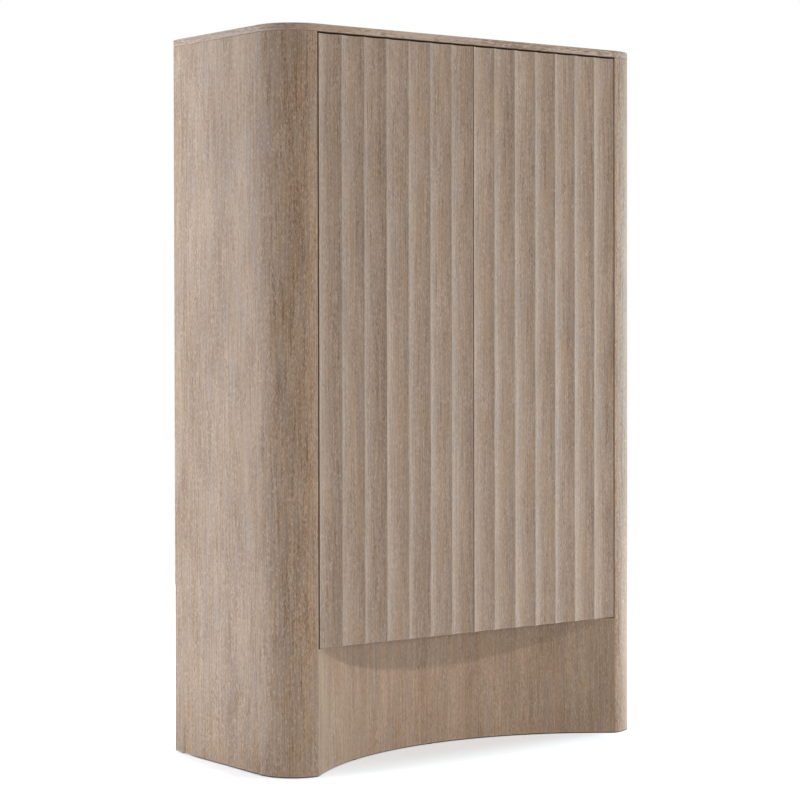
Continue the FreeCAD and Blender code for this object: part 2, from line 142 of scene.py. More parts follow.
@dataclass(frozen=True)
class Outline:
    """A closed plan line, run anticlockwise: corners, and the radius that each is rounded to, or 0.

    A support point stands on the straight before and after each rounding, at most the support distance and
    the support share of the straight away, so that shading stays flat between roundings. The wear and
    highlight number is the arris mark of plain corners, a pale mark that is partly wear and partly a painted
    highlight. No rounding wider than the widest arris is marked as one.
    """

    corners: Array
    radii: Array
    steps: int = 6
    support: float = 0.0015
    worn: Array | float = 0.0
    circle_points: ClassVar[int] = 40
    widest_arris: ClassVar[float] = 0.004
    least_radius_share: ClassVar[float] = 0.1
    support_share: ClassVar[float] = 0.3
    sharpest_mitre: ClassVar[float] = 0.3

    @classmethod
    def circle(cls, centre: Spot, radius: float) -> "Outline":
        """Draw a circle as equal turns of its radius.

        Args:
            centre: the circle's (x, y) middle.
            radius: its radius.

        Returns:
            The circle's outline.
        """
        turn = np.linspace(0, 2 * np.pi, cls.circle_points, endpoint=False)
        ring = np.stack([np.cos(turn), np.sin(turn)], axis=1) * radius
        return cls(ring + np.asarray(centre), np.zeros(cls.circle_points))

    @classmethod
    def rectangle(
        cls, low: Iterable[float], high: Iterable[float], radius: float, steps: int = 6,
    ) -> "Outline":
        """Draw a rectangle with rounded corners.

        Args:
            low: the lowest (x, y) corner.
            high: the highest (x, y) corner.
            radius: the corners' radius.
            steps: points on each corner.

        Returns:
            The rectangle's outline.
        """
        (x0, y0), (x1, y1) = low, high
        return cls(np.array([(x0, y0), (x1, y0), (x1, y1), (x0, y1)]), np.full(4, radius), steps)

    def kept(self) -> Array:
        """Tell which of each corner's points are used: all of them where it is rounded, else one.

        Returns:
            A mask as (corner, point), with the support points first and last.
        """
        keep = np.repeat((self.radii > 0)[:, None], self.steps + 2, axis=1)
        keep[:, 1] = True
        return keep

    def arris(self) -> Array:
        """Mark each point: up to 1 in the middle of a small rounding, and the wear and highlight number at
        plain corners.

        Returns:
            The marks, one for each point of the line.
        """
        small = (self.radii > 0) & (self.radii < self.widest_arris)
        mark = np.repeat((self.worn * (self.radii == 0))[:, None], self.steps + 2, axis=1)
        mark[:, 1:-1] += np.sin(np.pi * np.linspace(0, 1, self.steps)) * small[:, None]
        return mark[self.kept()]

    def drawn_in(self, by: float) -> Array:
        """Give the line's points where it is drawn in by a distance.

        A corner moves in by the sum of its two edges' unit normals over one plus their dot product, which
        keeps the edges parallel to where they were. Its radius gets smaller by the distance, but not below
        its least share, or larger in a hollow corner. The arc starts r tan(turn / 2) before the corner, and
        its points are the start's radius vector turned about the arc's centre by equal shares of the turn.

        Args:
            by: the distance.

        Returns:
            The (x, y) points.
        """
        ahead = np.roll(self.corners, -1, axis=0) - self.corners
        onward = ahead / np.linalg.norm(ahead, axis=1)[:, None]
        inward = np.roll(onward, 1, axis=0)
        cross = inward[:, 0] * onward[:, 1] - inward[:, 1] * onward[:, 0]
        turn = np.arctan2(cross, (inward * onward).sum(axis=1))
        left = np.stack([-inward[:, 1], inward[:, 0]], axis=1)
        mitre = (left + np.roll(left, -1, axis=0)) / (1 + np.cos(turn)).clip(self.sharpest_mitre)[:, None]
        corners = self.corners + mitre * by
        hand = np.sign(turn)
        least = self.radii * self.least_radius_share
        radii = np.maximum(self.radii - hand * by * (self.radii > 0), least)
        length = np.linalg.norm(np.roll(corners, -1, axis=0) - corners, axis=1)
        reach = radii * np.tan(np.abs(turn) / 2)
        start = corners - inward * reach[:, None]
        arm = -left * (hand * radii)[:, None]
        centre = start - arm
        angle = turn[:, None] * np.linspace(0, 1, self.steps)
        arc_x = centre[:, :1] + arm[:, :1] * np.cos(angle) - arm[:, 1:] * np.sin(angle)
        arc_y = centre[:, 1:] + arm[:, :1] * np.sin(angle) + arm[:, 1:] * np.cos(angle)
        straight = length - reach - np.roll(reach, -1)
        after = np.minimum(self.support, self.support_share * straight)[:, None]
        first = start - inward * np.roll(after, 1, axis=0)
        last = corners + onward * (reach[:, None] + after)
        grid = np.concatenate([first[:, None], np.stack([arc_x, arc_y], axis=-1), last[:, None]], axis=1)
        return grid[self.kept()]


@dataclass
class Surface:
    """A mesh in the making: points, the quads that skin it, the caps that close it, and each point's marks.

    The arris mark is 1 on a rubbed edge, partly wear and partly a painted highlight, and -1 in a seam, where
    shade is painted dark. The board number sets a board's tone, and the gap glow mark is 1 on a door edge
    that faces a gap, where warm bounce light is painted. The lay, where there is one, is where on the wood
    each point reads its figure.
    """

    points: Array
    quads: Array
    caps: list[Array]
    arris: Array
    board: Array
    sawn: Array
    lay: Array | None = None
    marks: ClassVar[tuple[str, ...]] = ("arris", "board", "sawn")
    rim_rings: ClassVar[int] = 5
    inner_ring_share: ClassVar[float] = 1.25
    flat_parts: ClassVar[int] = 9
    flat_rings: ClassVar[tuple[int, ...]] = (1, 3)
    least_rub: ClassVar[float] = 0.5
    rub_fade: ClassVar[Row] = (0.4, 0.0)
    seam_fade: ClassVar[Row] = (0.2, 0.1, 0.0)

    @classmethod
    def lofted(
        cls, outline: Outline, low: float, high: float, rim: float, board: float = 0.5,
        support: float = 0.0015, sawn: bool = False, seams: tuple[bool, bool] = (False, False),
    ) -> "Surface":
        """Carry an outline up from one height to another, with rounded rims and closed ends.

        At an angle a of the rim's quarter turn the outline is drawn in by rim (1 - sin a) and stands
        rim (1 - cos a) from the end. One more ring a quarter rim inside each rim and two beyond it keep the
        flats flat, and the arris mark fades out over these two.

        Args:
            outline: the plan line.
            low: the lower end.
            high: the upper end.
            rim: the radius of both rims.
            board: the number that tells this board's tone from its neighbours'.
            support: the greatest distance from a rim to the first ring beyond it.
            sawn: whether the edges at the least and the greatest X face the door gaps and get painted warm
                bounce light.
            seams: whether the lower and the upper rim lie in a seam, where shade is painted dark.

        Returns:
            The closed surface.
        """
        angle = np.linspace(0, np.pi / 2, cls.rim_rings)
        inset = np.concatenate([[cls.inner_ring_share * rim], rim * (1 - np.sin(angle)), [0, 0]])
        beyond = np.array(cls.flat_rings) * min(support, (high - low - 2 * rim) / cls.flat_parts)
        rise = np.concatenate([[0], rim * (1 - np.cos(angle)), rim + beyond])
        rub_and_highlight = np.concatenate([[0], np.sin(2 * angle).clip(cls.least_rub), cls.rub_fade])
        seam_shade = np.concatenate([np.full(cls.rim_rings, -1.0), cls.seam_fade])
        inset = np.concatenate([inset, inset[::-1]])
        height = np.concatenate([low + rise, high - rise[::-1]])
        low_mark, high_mark = (seam_shade if seam else rub_and_highlight for seam in seams)
        mark = np.concatenate([low_mark, high_mark[::-1]])[:, None]
        plan = np.stack([outline.drawn_in(by) for by in inset])
        lift = np.broadcast_to(height[:, None, None], (*plan.shape[:2], 1))
        arris = np.where(mark < 0, mark, np.maximum(mark, outline.arris())).ravel()
        surface = cls.from_rings(np.concatenate([plan, lift], axis=2), arris, board)
        if not sawn:
            return surface
        across = outline.drawn_in(0.0)[:, 0]
        plain = np.isclose(across, across.min()) | np.isclose(across, across.max())
        return replace(surface, sawn=np.tile(plain.astype(float), len(height)))

    @classmethod
    def from_rings(cls, rings: Array, arris: Array, board: float = 0.5) -> "Surface":
        """Skin a stack of closed rings with quads, and cap each of its two ends with one flat face.

        Args:
            rings: the stack, as (ring, point, xyz).
            arris: each point's arris mark, ring by ring.
            board: the board's number.

        Returns:
            The closed surface.
        """
        count, around = rings.shape[:2]
        ring = np.arange(around)
        base = (np.arange(count - 1) * around)[:, None]
        turned = np.roll(ring, -1)
        quads = np.stack([base + ring, base + turned, base + around + turned, base + around + ring], axis=-1)
        caps = [ring[::-1], ring + (count - 1) * around]
        boards = np.full(arris.shape, board)
        return cls(rings.reshape(-1, 3), quads.reshape(-1, 4), caps, arris, boards, np.zeros(arris.shape))

    @classmethod
    def plank(cls, low: Array, high: Array, edge: float, board: float = 0.5) -> "Surface":
        """Build a square-cut board with softened edges.

        Args:
            low: the lowest corner.
            high: the highest corner.
            edge: the radius of every edge.
            board: the board's number.

        Returns:
            The closed surface.
        """
        outline = Outline.rectangle(low[:2], high[:2], edge)
        return cls.lofted(outline, low[2], high[2], edge, board, support=edge)

    @classmethod
    def joined(cls, parts: list["Surface"]) -> "Surface":
        """Put several surfaces into one mesh, with their points one after the other.

        Args:
            parts: the surfaces, none of them with a lay of its own.

        Returns:
            All of them as one.
        """
        starts = np.cumsum([0] + [len(part.points) for part in parts[:-1]])
        return cls(
            np.concatenate([part.points for part in parts]),
            np.concatenate([part.quads + start for part, start in zip(parts, starts)]),
            [cap + start for part, start in zip(parts, starts) for cap in part.caps],
            *(np.concatenate([getattr(part, mark) for part in parts]) for mark in cls.marks),
        )

    def turned(self, swing: Swing) -> "Surface":
        """Swing the surface's axes round, which keeps its faces outward."""
        return replace(self, points=self.points[:, swing.value])

    def half_turned(self) -> "Surface":
        """Turn the surface half round about Z."""
        return replace(self, points=self.points * np.array([-1, -1, 1]))

    def moved(self, by: Iterable[float]) -> "Surface":
        """Shift every point by one vector."""
        return replace(self, points=self.points + np.asarray(tuple(by)))

    def handed(self, side: Side) -> "Surface":
        """Give the right-hand surface, or its mirror image with the faces turned back outward.

        Args:
            side: the hand that is wanted.

        Returns:
            The surface for that hand.
        """
        if side is Side.RIGHT:
            return self
        mirrored = self.points * np.array([-1, 1, 1])
        caps = [cap[::-1] for cap in self.caps]
        return replace(self, points=mirrored, quads=self.quads[:, ::-1], caps=caps)

    def piece(self, name: str) -> Piece:
        """Make the surface an object at the origin, smooth, with its marks as attributes.

        Args:
            name: the piece's name.

        Returns:
            The new object.
        """
        mesh = bpy.data.meshes.new(name)
        mesh.from_pydata(self.points.tolist(), [], self.quads.tolist() + [cap.tolist() for cap in self.caps])
        for mark in self.marks:
            values = getattr(self, mark).astype(np.float32)
            mesh.attributes.new(mark, "FLOAT", "POINT").data.foreach_set("value", values)
        if self.lay is not None:
            mesh.attributes.new("lay", "FLOAT_VECTOR", "POINT").data.foreach_set("vector", self.lay.ravel())
        mesh.shade_smooth()
        piece = bpy.data.objects.new(name, mesh)
        bpy.context.scene.collection.objects.link(piece)
        return piece


class Wiring:
    """Places and links the nodes of one shader tree."""

    def __init__(self, tree: bpy.types.NodeTree) -> None:
        """Start on a tree."""
        self.tree = tree

    def feed(self, node: Node, feeds: dict[str | int, Feed]) -> None:
        """Feed a node's sockets.

        Args:
            node: the node.
            feeds: what goes into each socket, a link or a plain value.
        """
        for key, value in feeds.items():
            if isinstance(value, Socket):
                self.tree.links.new(value, node.inputs[key])
            else:
                node.inputs[key].default_value = value

    def node(self, kind: str, feeds: dict[str | int, Feed] | None = None, **choices: object) -> Node:
        """Add a node.

        Args:
            kind: Blender's name for the node.
            feeds: what goes into its sockets.
            choices: the node's own settings.

        Returns:
            The node.
        """
        node = self.tree.nodes.new(kind)
        for name, value in choices.items():
            setattr(node, name, value)
        self.feed(node, feeds or {})
        return node

    def sum(self, operation: str, first: Feed, second: Feed = 0.0, third: Feed = 0.0) -> Socket:
        """Work out one value from up to three, as the named sum says."""
        return self.node("ShaderNodeMath", {0: first, 1: second, 2: third}, operation=operation).outputs[0]

    def centred(self, value: Feed) -> Socket:
        """Take one half off a value, which centres a cloud on 0."""
        return self.sum("SUBTRACT", value, 0.5)

    def vector(self, operation: str, first: Feed, second: Feed) -> Socket:
        """Work out one vector from two, as the named sum says."""
        return self.node("ShaderNodeVectorMath", {0: first, 1: second}, operation=operation).outputs[0]

    def length(self, vector: Feed) -> Socket:
        """Measure a vector."""
        return self.node("ShaderNodeVectorMath", {0: vector}, operation="LENGTH").outputs["Value"]

    def step(self, value: Feed, low: float, high: float, top: float = 1.0) -> Socket:
        """Ease a value from 0 at the low mark to the top at the high mark."""
        feeds = {"Value": value, "From Min": low, "From Max": high, "To Max": top}
        return self.node("ShaderNodeMapRange", feeds, interpolation_type="SMOOTHSTEP").outputs[0]

    def blend(self, share: Feed, first: Feed, second: Feed) -> Socket:
        """Mix two colours, with none of the second at a share of 0."""
        return self.node("ShaderNodeMix", {0: share, 6: first, 7: second}, data_type="RGBA").outputs[2]

    def relief(self, height: Socket, strength: float, depth: float) -> Socket:
        """Turn a height into a normal, where a height of 1 stands for the depth."""
        feeds = {"Strength": strength, "Distance": depth, "Height": height}
        return self.node("ShaderNodeBump", feeds).outputs[0]

    def place(self) -> Socket:
        """Give the place in the object's own coordinates."""
        return self.node("ShaderNodeTexCoord").outputs["Object"]

    def mark(self, name: str, gives: str = "Fac") -> Socket:
        """Read a mark that the mesh's points carry."""
        return self.node("ShaderNodeAttribute", attribute_name=name).outputs[gives]

    def along(self, place: Feed, grain: Grain) -> Socket:
        """Reorder a place's axes, so that the grain runs along the last."""
        axes = self.node("ShaderNodeSeparateXYZ", {0: place}).outputs
        return self.node("ShaderNodeCombineXYZ", {i: axes[k] for i, k in enumerate(grain.value)}).outputs[0]


@dataclass(frozen=True)
class Cloud:
    """A cloudy pattern: the size of one cloud across and along, and its finer layers' count and strength."""

    across: float
    along: float
    detail: float
    rough: float = 0.5

    def read(self, wires: Wiring, place: Feed) -> Socket:
        """Read the pattern.

        Args:
            wires: the wiring that it is read in.
            place: where it is read.

        Returns:
            A value round one half.
        """
        scale = (1 / self.across, 1 / self.across, 1 / self.along)
        scaled = wires.vector("MULTIPLY", place, scale)
        feeds = {"Vector": scaled, "Scale": 1.0, "Detail": self.detail, "Roughness": self.rough}
        return wires.node("ShaderNodeTexNoise", feeds).outputs[0]


@dataclass(frozen=True)
class SharedGroup:
    """A shader group that several finishes share, which gives colour, roughness and height."""

    name: ClassVar[str]
    values: ClassVar[tuple[str, ...]]
    colours: ClassVar[tuple[str, ...]]

    def tree(self) -> bpy.types.NodeTree:
        """Give the group's tree.

        Returns:
            The tree, built the first time it is asked for.
        """
        if self.name in bpy.data.node_groups:
            return bpy.data.node_groups[self.name]
        tree = bpy.data.node_groups.new(self.name, "ShaderNodeTree")
        sockets = [("Vector", "INPUT", "NodeSocketVector")]
        sockets += [(name, "INPUT", "NodeSocketFloat") for name in self.values]
        sockets += [(name, "INPUT", "NodeSocketColor") for name in self.colours]
        sockets += [("Color", "OUTPUT", "NodeSocketColor")]
        sockets += [(name, "OUTPUT", "NodeSocketFloat") for name in ("Roughness", "Height")]
        for name, way, kind in sockets:
            tree.interface.new_socket(name, in_out=way, socket_type=kind)
        wires = Wiring(tree)
        colour, rough, height = self.wire(wires, wires.node("NodeGroupInput").outputs)
        wires.node("NodeGroupOutput", {"Color": colour, "Roughness": rough, "Height": height})
        return tree

    def wire(self, wires: Wiring, feed: bpy.types.NodeOutputs) -> tuple[Socket, Socket, Socket]:
        """Wire the group; each has its own way."""
        raise NotImplementedError


@dataclass(frozen=True)
class OakFigure(SharedGroup):
    """Limed oak with the grain along Z: growth bands, streaks, dark pits and pale filled pores.

    A step holds the two marks between which a cloud is eased in, and the top that it gets to.
    """

    name: ClassVar[str] = "limed_oak_figure"
    values: ClassVar[tuple[str, ...]] = (
        "Board", "Arris", "Sawn", "Seed", "Spread", "Banding", "Contrast", "Lime Share",
    )
    colours: ClassVar[tuple[str, ...]] = ("Dark", "Light", "Gold", "Grey", "Lime", "Raw")
    board_shift: float = 11.3
    shift_shares: Point = (1.0, 1.7, 0.6)
    sway: Cloud = Cloud(0.12, 0.8, 1.0)
    sway_reach: Point = (0.03, 0.03, 0.0)
    aside: Point = (7.3, 2.1, 4.9)
    long_band: Cloud = Cloud(0.05, 1.4, 2.0)
    short_band: Cloud = Cloud(0.05, 0.24, 2.0)
    streak: Cloud = Cloud(0.0034, 0.17, 2.0)
    streak_weight: float = 1.4
    thread: Cloud = Cloud(0.0026, 0.01, 2.0, 0.6)
    thread_weight: float = 1.9
    pit: Cloud = Cloud(0.0022, 0.014, 1.0)
    pit_step: Row = (0.59, 0.7)
    pit_weight: float = -0.45
    middle_tone: float = 0.54
    gold: Cloud = Cloud(0.014, 0.16, 3.0, 0.55)
    gold_step: Row = (0.42, 0.7, 0.6)
    grey: Cloud = Cloud(0.012, 0.16, 3.0, 0.55)
    grey_step: Row = (0.42, 0.7, 0.5)
    pore: Cloud = Cloud(0.0008, 0.008, 1.0)
    pore_step: Row = (0.54, 0.7)
    open_step: Row = (0.35, 0.65)
    fleck: Cloud = Cloud(0.0028, 0.01, 1.0)
    fleck_step: Row = (0.6, 0.7, 0.8)
    rub_streak: float = 0.5
    rub_least: float = 0.15
    # Dark brown painted into the seams between the top and the sides: painted shade where the groove's shadow
    # falls.
    seam: Rgb = (62, 48, 37)
    seam_share: float = 0.45
    smoothest: float = 0.42
    thread_rough: float = 0.24
    lime_rough: float = 0.14
    lime_height: float = -0.3
    pit_height: float = -0.6

    def wire(self, wires: Wiring, feed: bpy.types.NodeOutputs) -> tuple[Socket, Socket, Socket]:
        """Mix the figure out of clouds.

        The tone is its middle plus the weighted bands, streaks and threads, less the pits, plus the board's
        own number. Gold and grey patches, lime in the pores and flecks, rubbed arrises that are partly wear
        and partly a painted highlight, painted warm bounce light on the door edges in the gaps, and painted
        shade in the seams are mixed over it.

        Args:
            wires: the group's wiring.
            feed: what comes into it.

        Returns:
            The colour, the roughness and the height.
        """
        shift = wires.sum("MULTIPLY_ADD", feed["Board"], self.board_shift, feed["Seed"])
        still = wires.vector("ADD", feed["Vector"], wires.vector("MULTIPLY", shift, self.shift_shares))
        sway = wires.centred(self.sway.read(wires, still))
        place = wires.vector("ADD", still, wires.vector("MULTIPLY", sway, self.sway_reach))
        aside = wires.vector("ADD", place, self.aside)
        band = wires.sum("ADD", self.long_band.read(wires, place), self.short_band.read(wires, aside))
        streak = self.streak.read(wires, place)
        thread = self.thread.read(wires, place)
        pit = wires.step(self.pit.read(wires, aside), *self.pit_step)
        figure = wires.sum("MULTIPLY", wires.sum("SUBTRACT", band, 1.0), feed["Banding"])
        figure = wires.sum("MULTIPLY_ADD", wires.centred(streak), self.streak_weight, figure)
        figure = wires.sum("MULTIPLY_ADD", wires.centred(thread), self.thread_weight, figure)
        figure = wires.sum("MULTIPLY_ADD", pit, self.pit_weight, figure)
        tone = wires.sum("MULTIPLY_ADD", figure, feed["Contrast"], self.middle_tone)
        tone = wires.sum("MULTIPLY_ADD", wires.centred(feed["Board"]), feed["Spread"], tone)
        pores = wires.step(self.pore.read(wires, place), *self.pore_step)
        filled = wires.sum("MULTIPLY", pores, wires.step(streak, *self.open_step))
        filled = wires.sum("MAXIMUM", filled, wires.step(self.fleck.read(wires, place), *self.fleck_step))
        # Pale lime on rims: partly wear, partly a painted highlight on edges that catch the light.
        worn = wires.sum("MULTIPLY_ADD", streak, self.rub_streak, self.rub_least)
        rub_and_highlight = wires.sum("MULTIPLY", wires.sum("MAXIMUM", feed["Arris"], 0.0), worn)
        # Painted shade in the seams, where the arris mark is below 0.
        seam_shade = wires.sum("MAXIMUM", wires.sum("MULTIPLY", feed["Arris"], -self.seam_share), 0.0)
        layers = (
            (wires.step(self.gold.read(wires, place), *self.gold_step), feed["Gold"]),
            (wires.step(self.grey.read(wires, aside), *self.grey_step), feed["Grey"]),
            (wires.sum("MULTIPLY", filled, feed["Lime Share"]), feed["Lime"]),
            (rub_and_highlight, feed["Lime"]),
            (feed["Sawn"], feed["Raw"]),
            (seam_shade, linear(self.seam)),
        )
        colour = wires.blend(tone, feed["Dark"], feed["Light"])
        for share, over in layers:
            colour = wires.blend(share, colour, over)
        rough = wires.sum("MULTIPLY_ADD", thread, self.thread_rough, self.smoothest)
        rough = wires.sum("MULTIPLY_ADD", filled, self.lime_rough, rough)
        height = wires.sum("MULTIPLY_ADD", filled, self.lime_height, thread)
        return colour, rough, wires.sum("MULTIPLY_ADD", pit, self.pit_height, height)


@dataclass(frozen=True)
class FineMottle(SharedGroup):
    """A fine cloud of a given pitch, drawn out along Z, over a broad one, that shade colour and gloss."""

    name: ClassVar[str] = "fine_mottle"
    values: ClassVar[tuple[str, ...]] = ("Pitch", "Stretch", "Depth", "Rough Low", "Rough High")
    colours: ClassVar[tuple[str, ...]] = ("Base",)
    fine_detail: float = 3.0
    broad: Cloud = Cloud(0.07, 0.07, 2.0)

    def wire(self, wires: Wiring, feed: bpy.types.NodeOutputs) -> tuple[Socket, Socket, Socket]:
        """Scale the colour by 1 plus both centred clouds times the depth, and the gloss by their mean.

        Args:
            wires: the group's wiring.
            feed: what comes into it.

        Returns:
            The colour, the roughness and the height.
        """
        across = wires.sum("DIVIDE", 1.0, feed["Pitch"])
        along = wires.sum("DIVIDE", across, feed["Stretch"])
        scale = wires.node("ShaderNodeCombineXYZ", {0: across, 1: across, 2: along}).outputs[0]
        place = wires.vector("MULTIPLY", feed["Vector"], scale)
        feeds = {"Vector": place, "Scale": 1.0, "Detail": self.fine_detail}
        fine = wires.node("ShaderNodeTexNoise", feeds).outputs[0]
        broad = self.broad.read(wires, feed["Vector"])
        shade = wires.sum("MULTIPLY_ADD", wires.centred(fine), feed["Depth"], 1.0)
        shade = wires.sum("MULTIPLY_ADD", wires.centred(broad), feed["Depth"], shade)
        shaded = wires.node("ShaderNodeVectorMath", {0: feed["Base"], "Scale": shade}, operation="SCALE")
        reach = wires.sum("SUBTRACT", feed["Rough High"], feed["Rough Low"])
        mean = wires.sum("MULTIPLY", wires.sum("ADD", fine, broad), 0.5)
        return shaded.outputs[0], wires.sum("MULTIPLY_ADD", mean, reach, feed["Rough Low"]), fine


@dataclass(frozen=True)
class Finish:
    """A surface finish that makes its own material, once."""

    name: str
    slot: str

    def material(self) -> bpy.types.Material:
        """Give the finish's material.

        Returns:
            The material, built the first time.
        """
        if self.name in bpy.data.materials and bpy.data.materials[self.name].get("dressed"):
            return bpy.data.materials[self.name]
        material = bpy.data.materials.new(self.name)
        material["dressed"] = True
        material.use_nodes = True
        self.wire(Wiring(material.node_tree), material.node_tree.nodes["Principled BSDF"])
        return material

    def wire(self, wires: Wiring, shader: Node) -> None:
        """Wire the material; each kind of finish has its own way."""
        raise NotImplementedError


@dataclass(frozen=True)
class Oak(Finish):
    """Oak with its pores filled pale, or the same wood left plainer inside the case.

    The across shares widen the figure over the grain, the spread sets boards apart in tone, and a laid figure
    is read at the mesh's own lay.
    """

    grain: Grain = Grain.ALONG_Z
    tilt: float = 0.0
    seed: float = 0.0
    spread: float = 0.0
    across: tuple[float, float] = (1.0, 1.0)
    banding: float = 0.8
    contrast: float = 1.1
    lime_share: float = 0.5
    laid: bool = False
    dark: Rgb = (126, 103, 84)
    light: Rgb = (184, 161, 143)
    gold: Rgb = (170, 139, 108)
    grey: Rgb = (156, 140, 129)
    lime: Rgb = (206, 190, 174)
    # Painted warm bounce light on the door edges that face the gaps.
    raw: Rgb = (190, 156, 126)
    figure: ClassVar[OakFigure] = OakFigure()
    lone_board: ClassVar[float] = 0.5
    specular: ClassVar[float] = 0.5
    relief_strength: ClassVar[float] = 0.25
    relief_depth: ClassVar[float] = 0.00025

    def wire(self, wires: Wiring, shader: Node) -> None:
        """Lay the figure along the grain and feed colour, gloss and pores to the shader.

        Args:
            wires: the material's wiring.
            shader: its surface shader.
        """
        place = wires.mark("lay", "Vector") if self.laid else wires.place()
        if self.tilt:
            turn = {"Vector": place, "Rotation": (0.0, self.tilt, 0.0)}
            place = wires.node("ShaderNodeMapping", turn).outputs[0]
        feeds = {
            "Vector": wires.vector("DIVIDE", wires.along(place, self.grain), (*self.across, 1.0)),
            "Board": wires.mark("board") if self.spread else self.lone_board,
            "Arris": wires.mark("arris"), "Sawn": wires.mark("sawn"),
            "Seed": self.seed, "Spread": self.spread, "Banding": self.banding,
            "Contrast": self.contrast, "Lime Share": self.lime_share,
        }
        feeds |= {name: linear(getattr(self, name.lower())) for name in self.figure.colours}
        given = wires.node("ShaderNodeGroup", feeds, node_tree=self.figure.tree()).outputs
        wires.feed(shader, {
            "Base Color": given["Color"], "Roughness": given["Roughness"],
            "Specular IOR Level": self.specular,
            "Normal": wires.relief(given["Height"], self.relief_strength, self.relief_depth),
        })


@dataclass(frozen=True)
class Mottled(Finish):
    """Metal, moulded plastic or rubber: one colour with a fine mottle in shade, gloss and relief."""

    colour: Rgb = (128, 128, 128)
    metallic: float = 0.0
    pitch: float = 0.0004
    stretch: float = 1.0
    depth: float = 0.15
    rough: tuple[float, float] = (0.4, 0.6)
    mottle: ClassVar[FineMottle] = FineMottle()
    relief_strength: ClassVar[float] = 0.4
    relief_depth: ClassVar[float] = 0.00003

    def wire(self, wires: Wiring, shader: Node) -> None:
        """Feed the mottle to the shader and set what is the same all over.

        Args:
            wires: the material's wiring.
            shader: its surface shader.
        """
        feeds = {
            "Vector": wires.place(), "Pitch": self.pitch, "Stretch": self.stretch, "Depth": self.depth,
            "Rough Low": self.rough[0], "Rough High": self.rough[1], "Base": linear(self.colour),
        }
        given = wires.node("ShaderNodeGroup", feeds, node_tree=self.mottle.tree()).outputs
        wires.feed(shader, {
            "Base Color": given["Color"], "Roughness": given["Roughness"], "Metallic": self.metallic,
            "Normal": wires.relief(given["Height"], self.relief_strength, self.relief_depth),
        })


@dataclass(frozen=True)
class Glass(Finish):
    """Polished float glass, faintly green, with a trace of handling marks in its gloss."""

    colour: Rgb = (236, 246, 241)
    bending: float = 1.5
    marks: Cloud = Cloud(0.05, 0.05, 3.0)
    marks_step: Row = (0.45, 0.75, 0.05)

    def wire(self, wires: Wiring, shader: Node) -> None:
        """Make the shader clear, and roughen it where it is marked.

        Args:
            wires: the material's wiring.
            shader: its surface shader.
        """
        wires.feed(shader, {
            "Roughness": wires.step(self.marks.read(wires, wires.place()), *self.marks_step),
            "Base Color": linear(self.colour), "Transmission Weight": 1.0, "IOR": self.bending,
        })


@dataclass(frozen=True)
class Mirror(Finish):
    """Bronze mirror glass whose silvering has aged in soft patches."""

    bright: Rgb = (186, 174, 158)
    aged: Rgb = (152, 139, 122)
    broad: Cloud = Cloud(0.16, 0.12, 4.0, 0.6)
    broad_step: Row = (0.4, 0.8)
    fine: Cloud = Cloud(0.012, 0.012, 3.0, 0.6)
    fine_step: Row = (0.25, 0.75)
    polish: float = 0.02
    dulling: float = 0.08

    def wire(self, wires: Wiring, shader: Node) -> None:
        """Cloud the silvering and dull it where it is dark.

        Args:
            wires: the material's wiring.
            shader: its surface shader.
        """
        place = wires.place()
        broad = wires.step(self.broad.read(wires, place), *self.broad_step)
        spots = wires.sum("MULTIPLY", broad, wires.step(self.fine.read(wires, place), *self.fine_step))
        wires.feed(shader, {
            "Base Color": wires.blend(spots, linear(self.bright), linear(self.aged)),
            "Roughness": wires.sum("MULTIPLY_ADD", spots, self.dulling, self.polish), "Metallic": 1.0,
        })


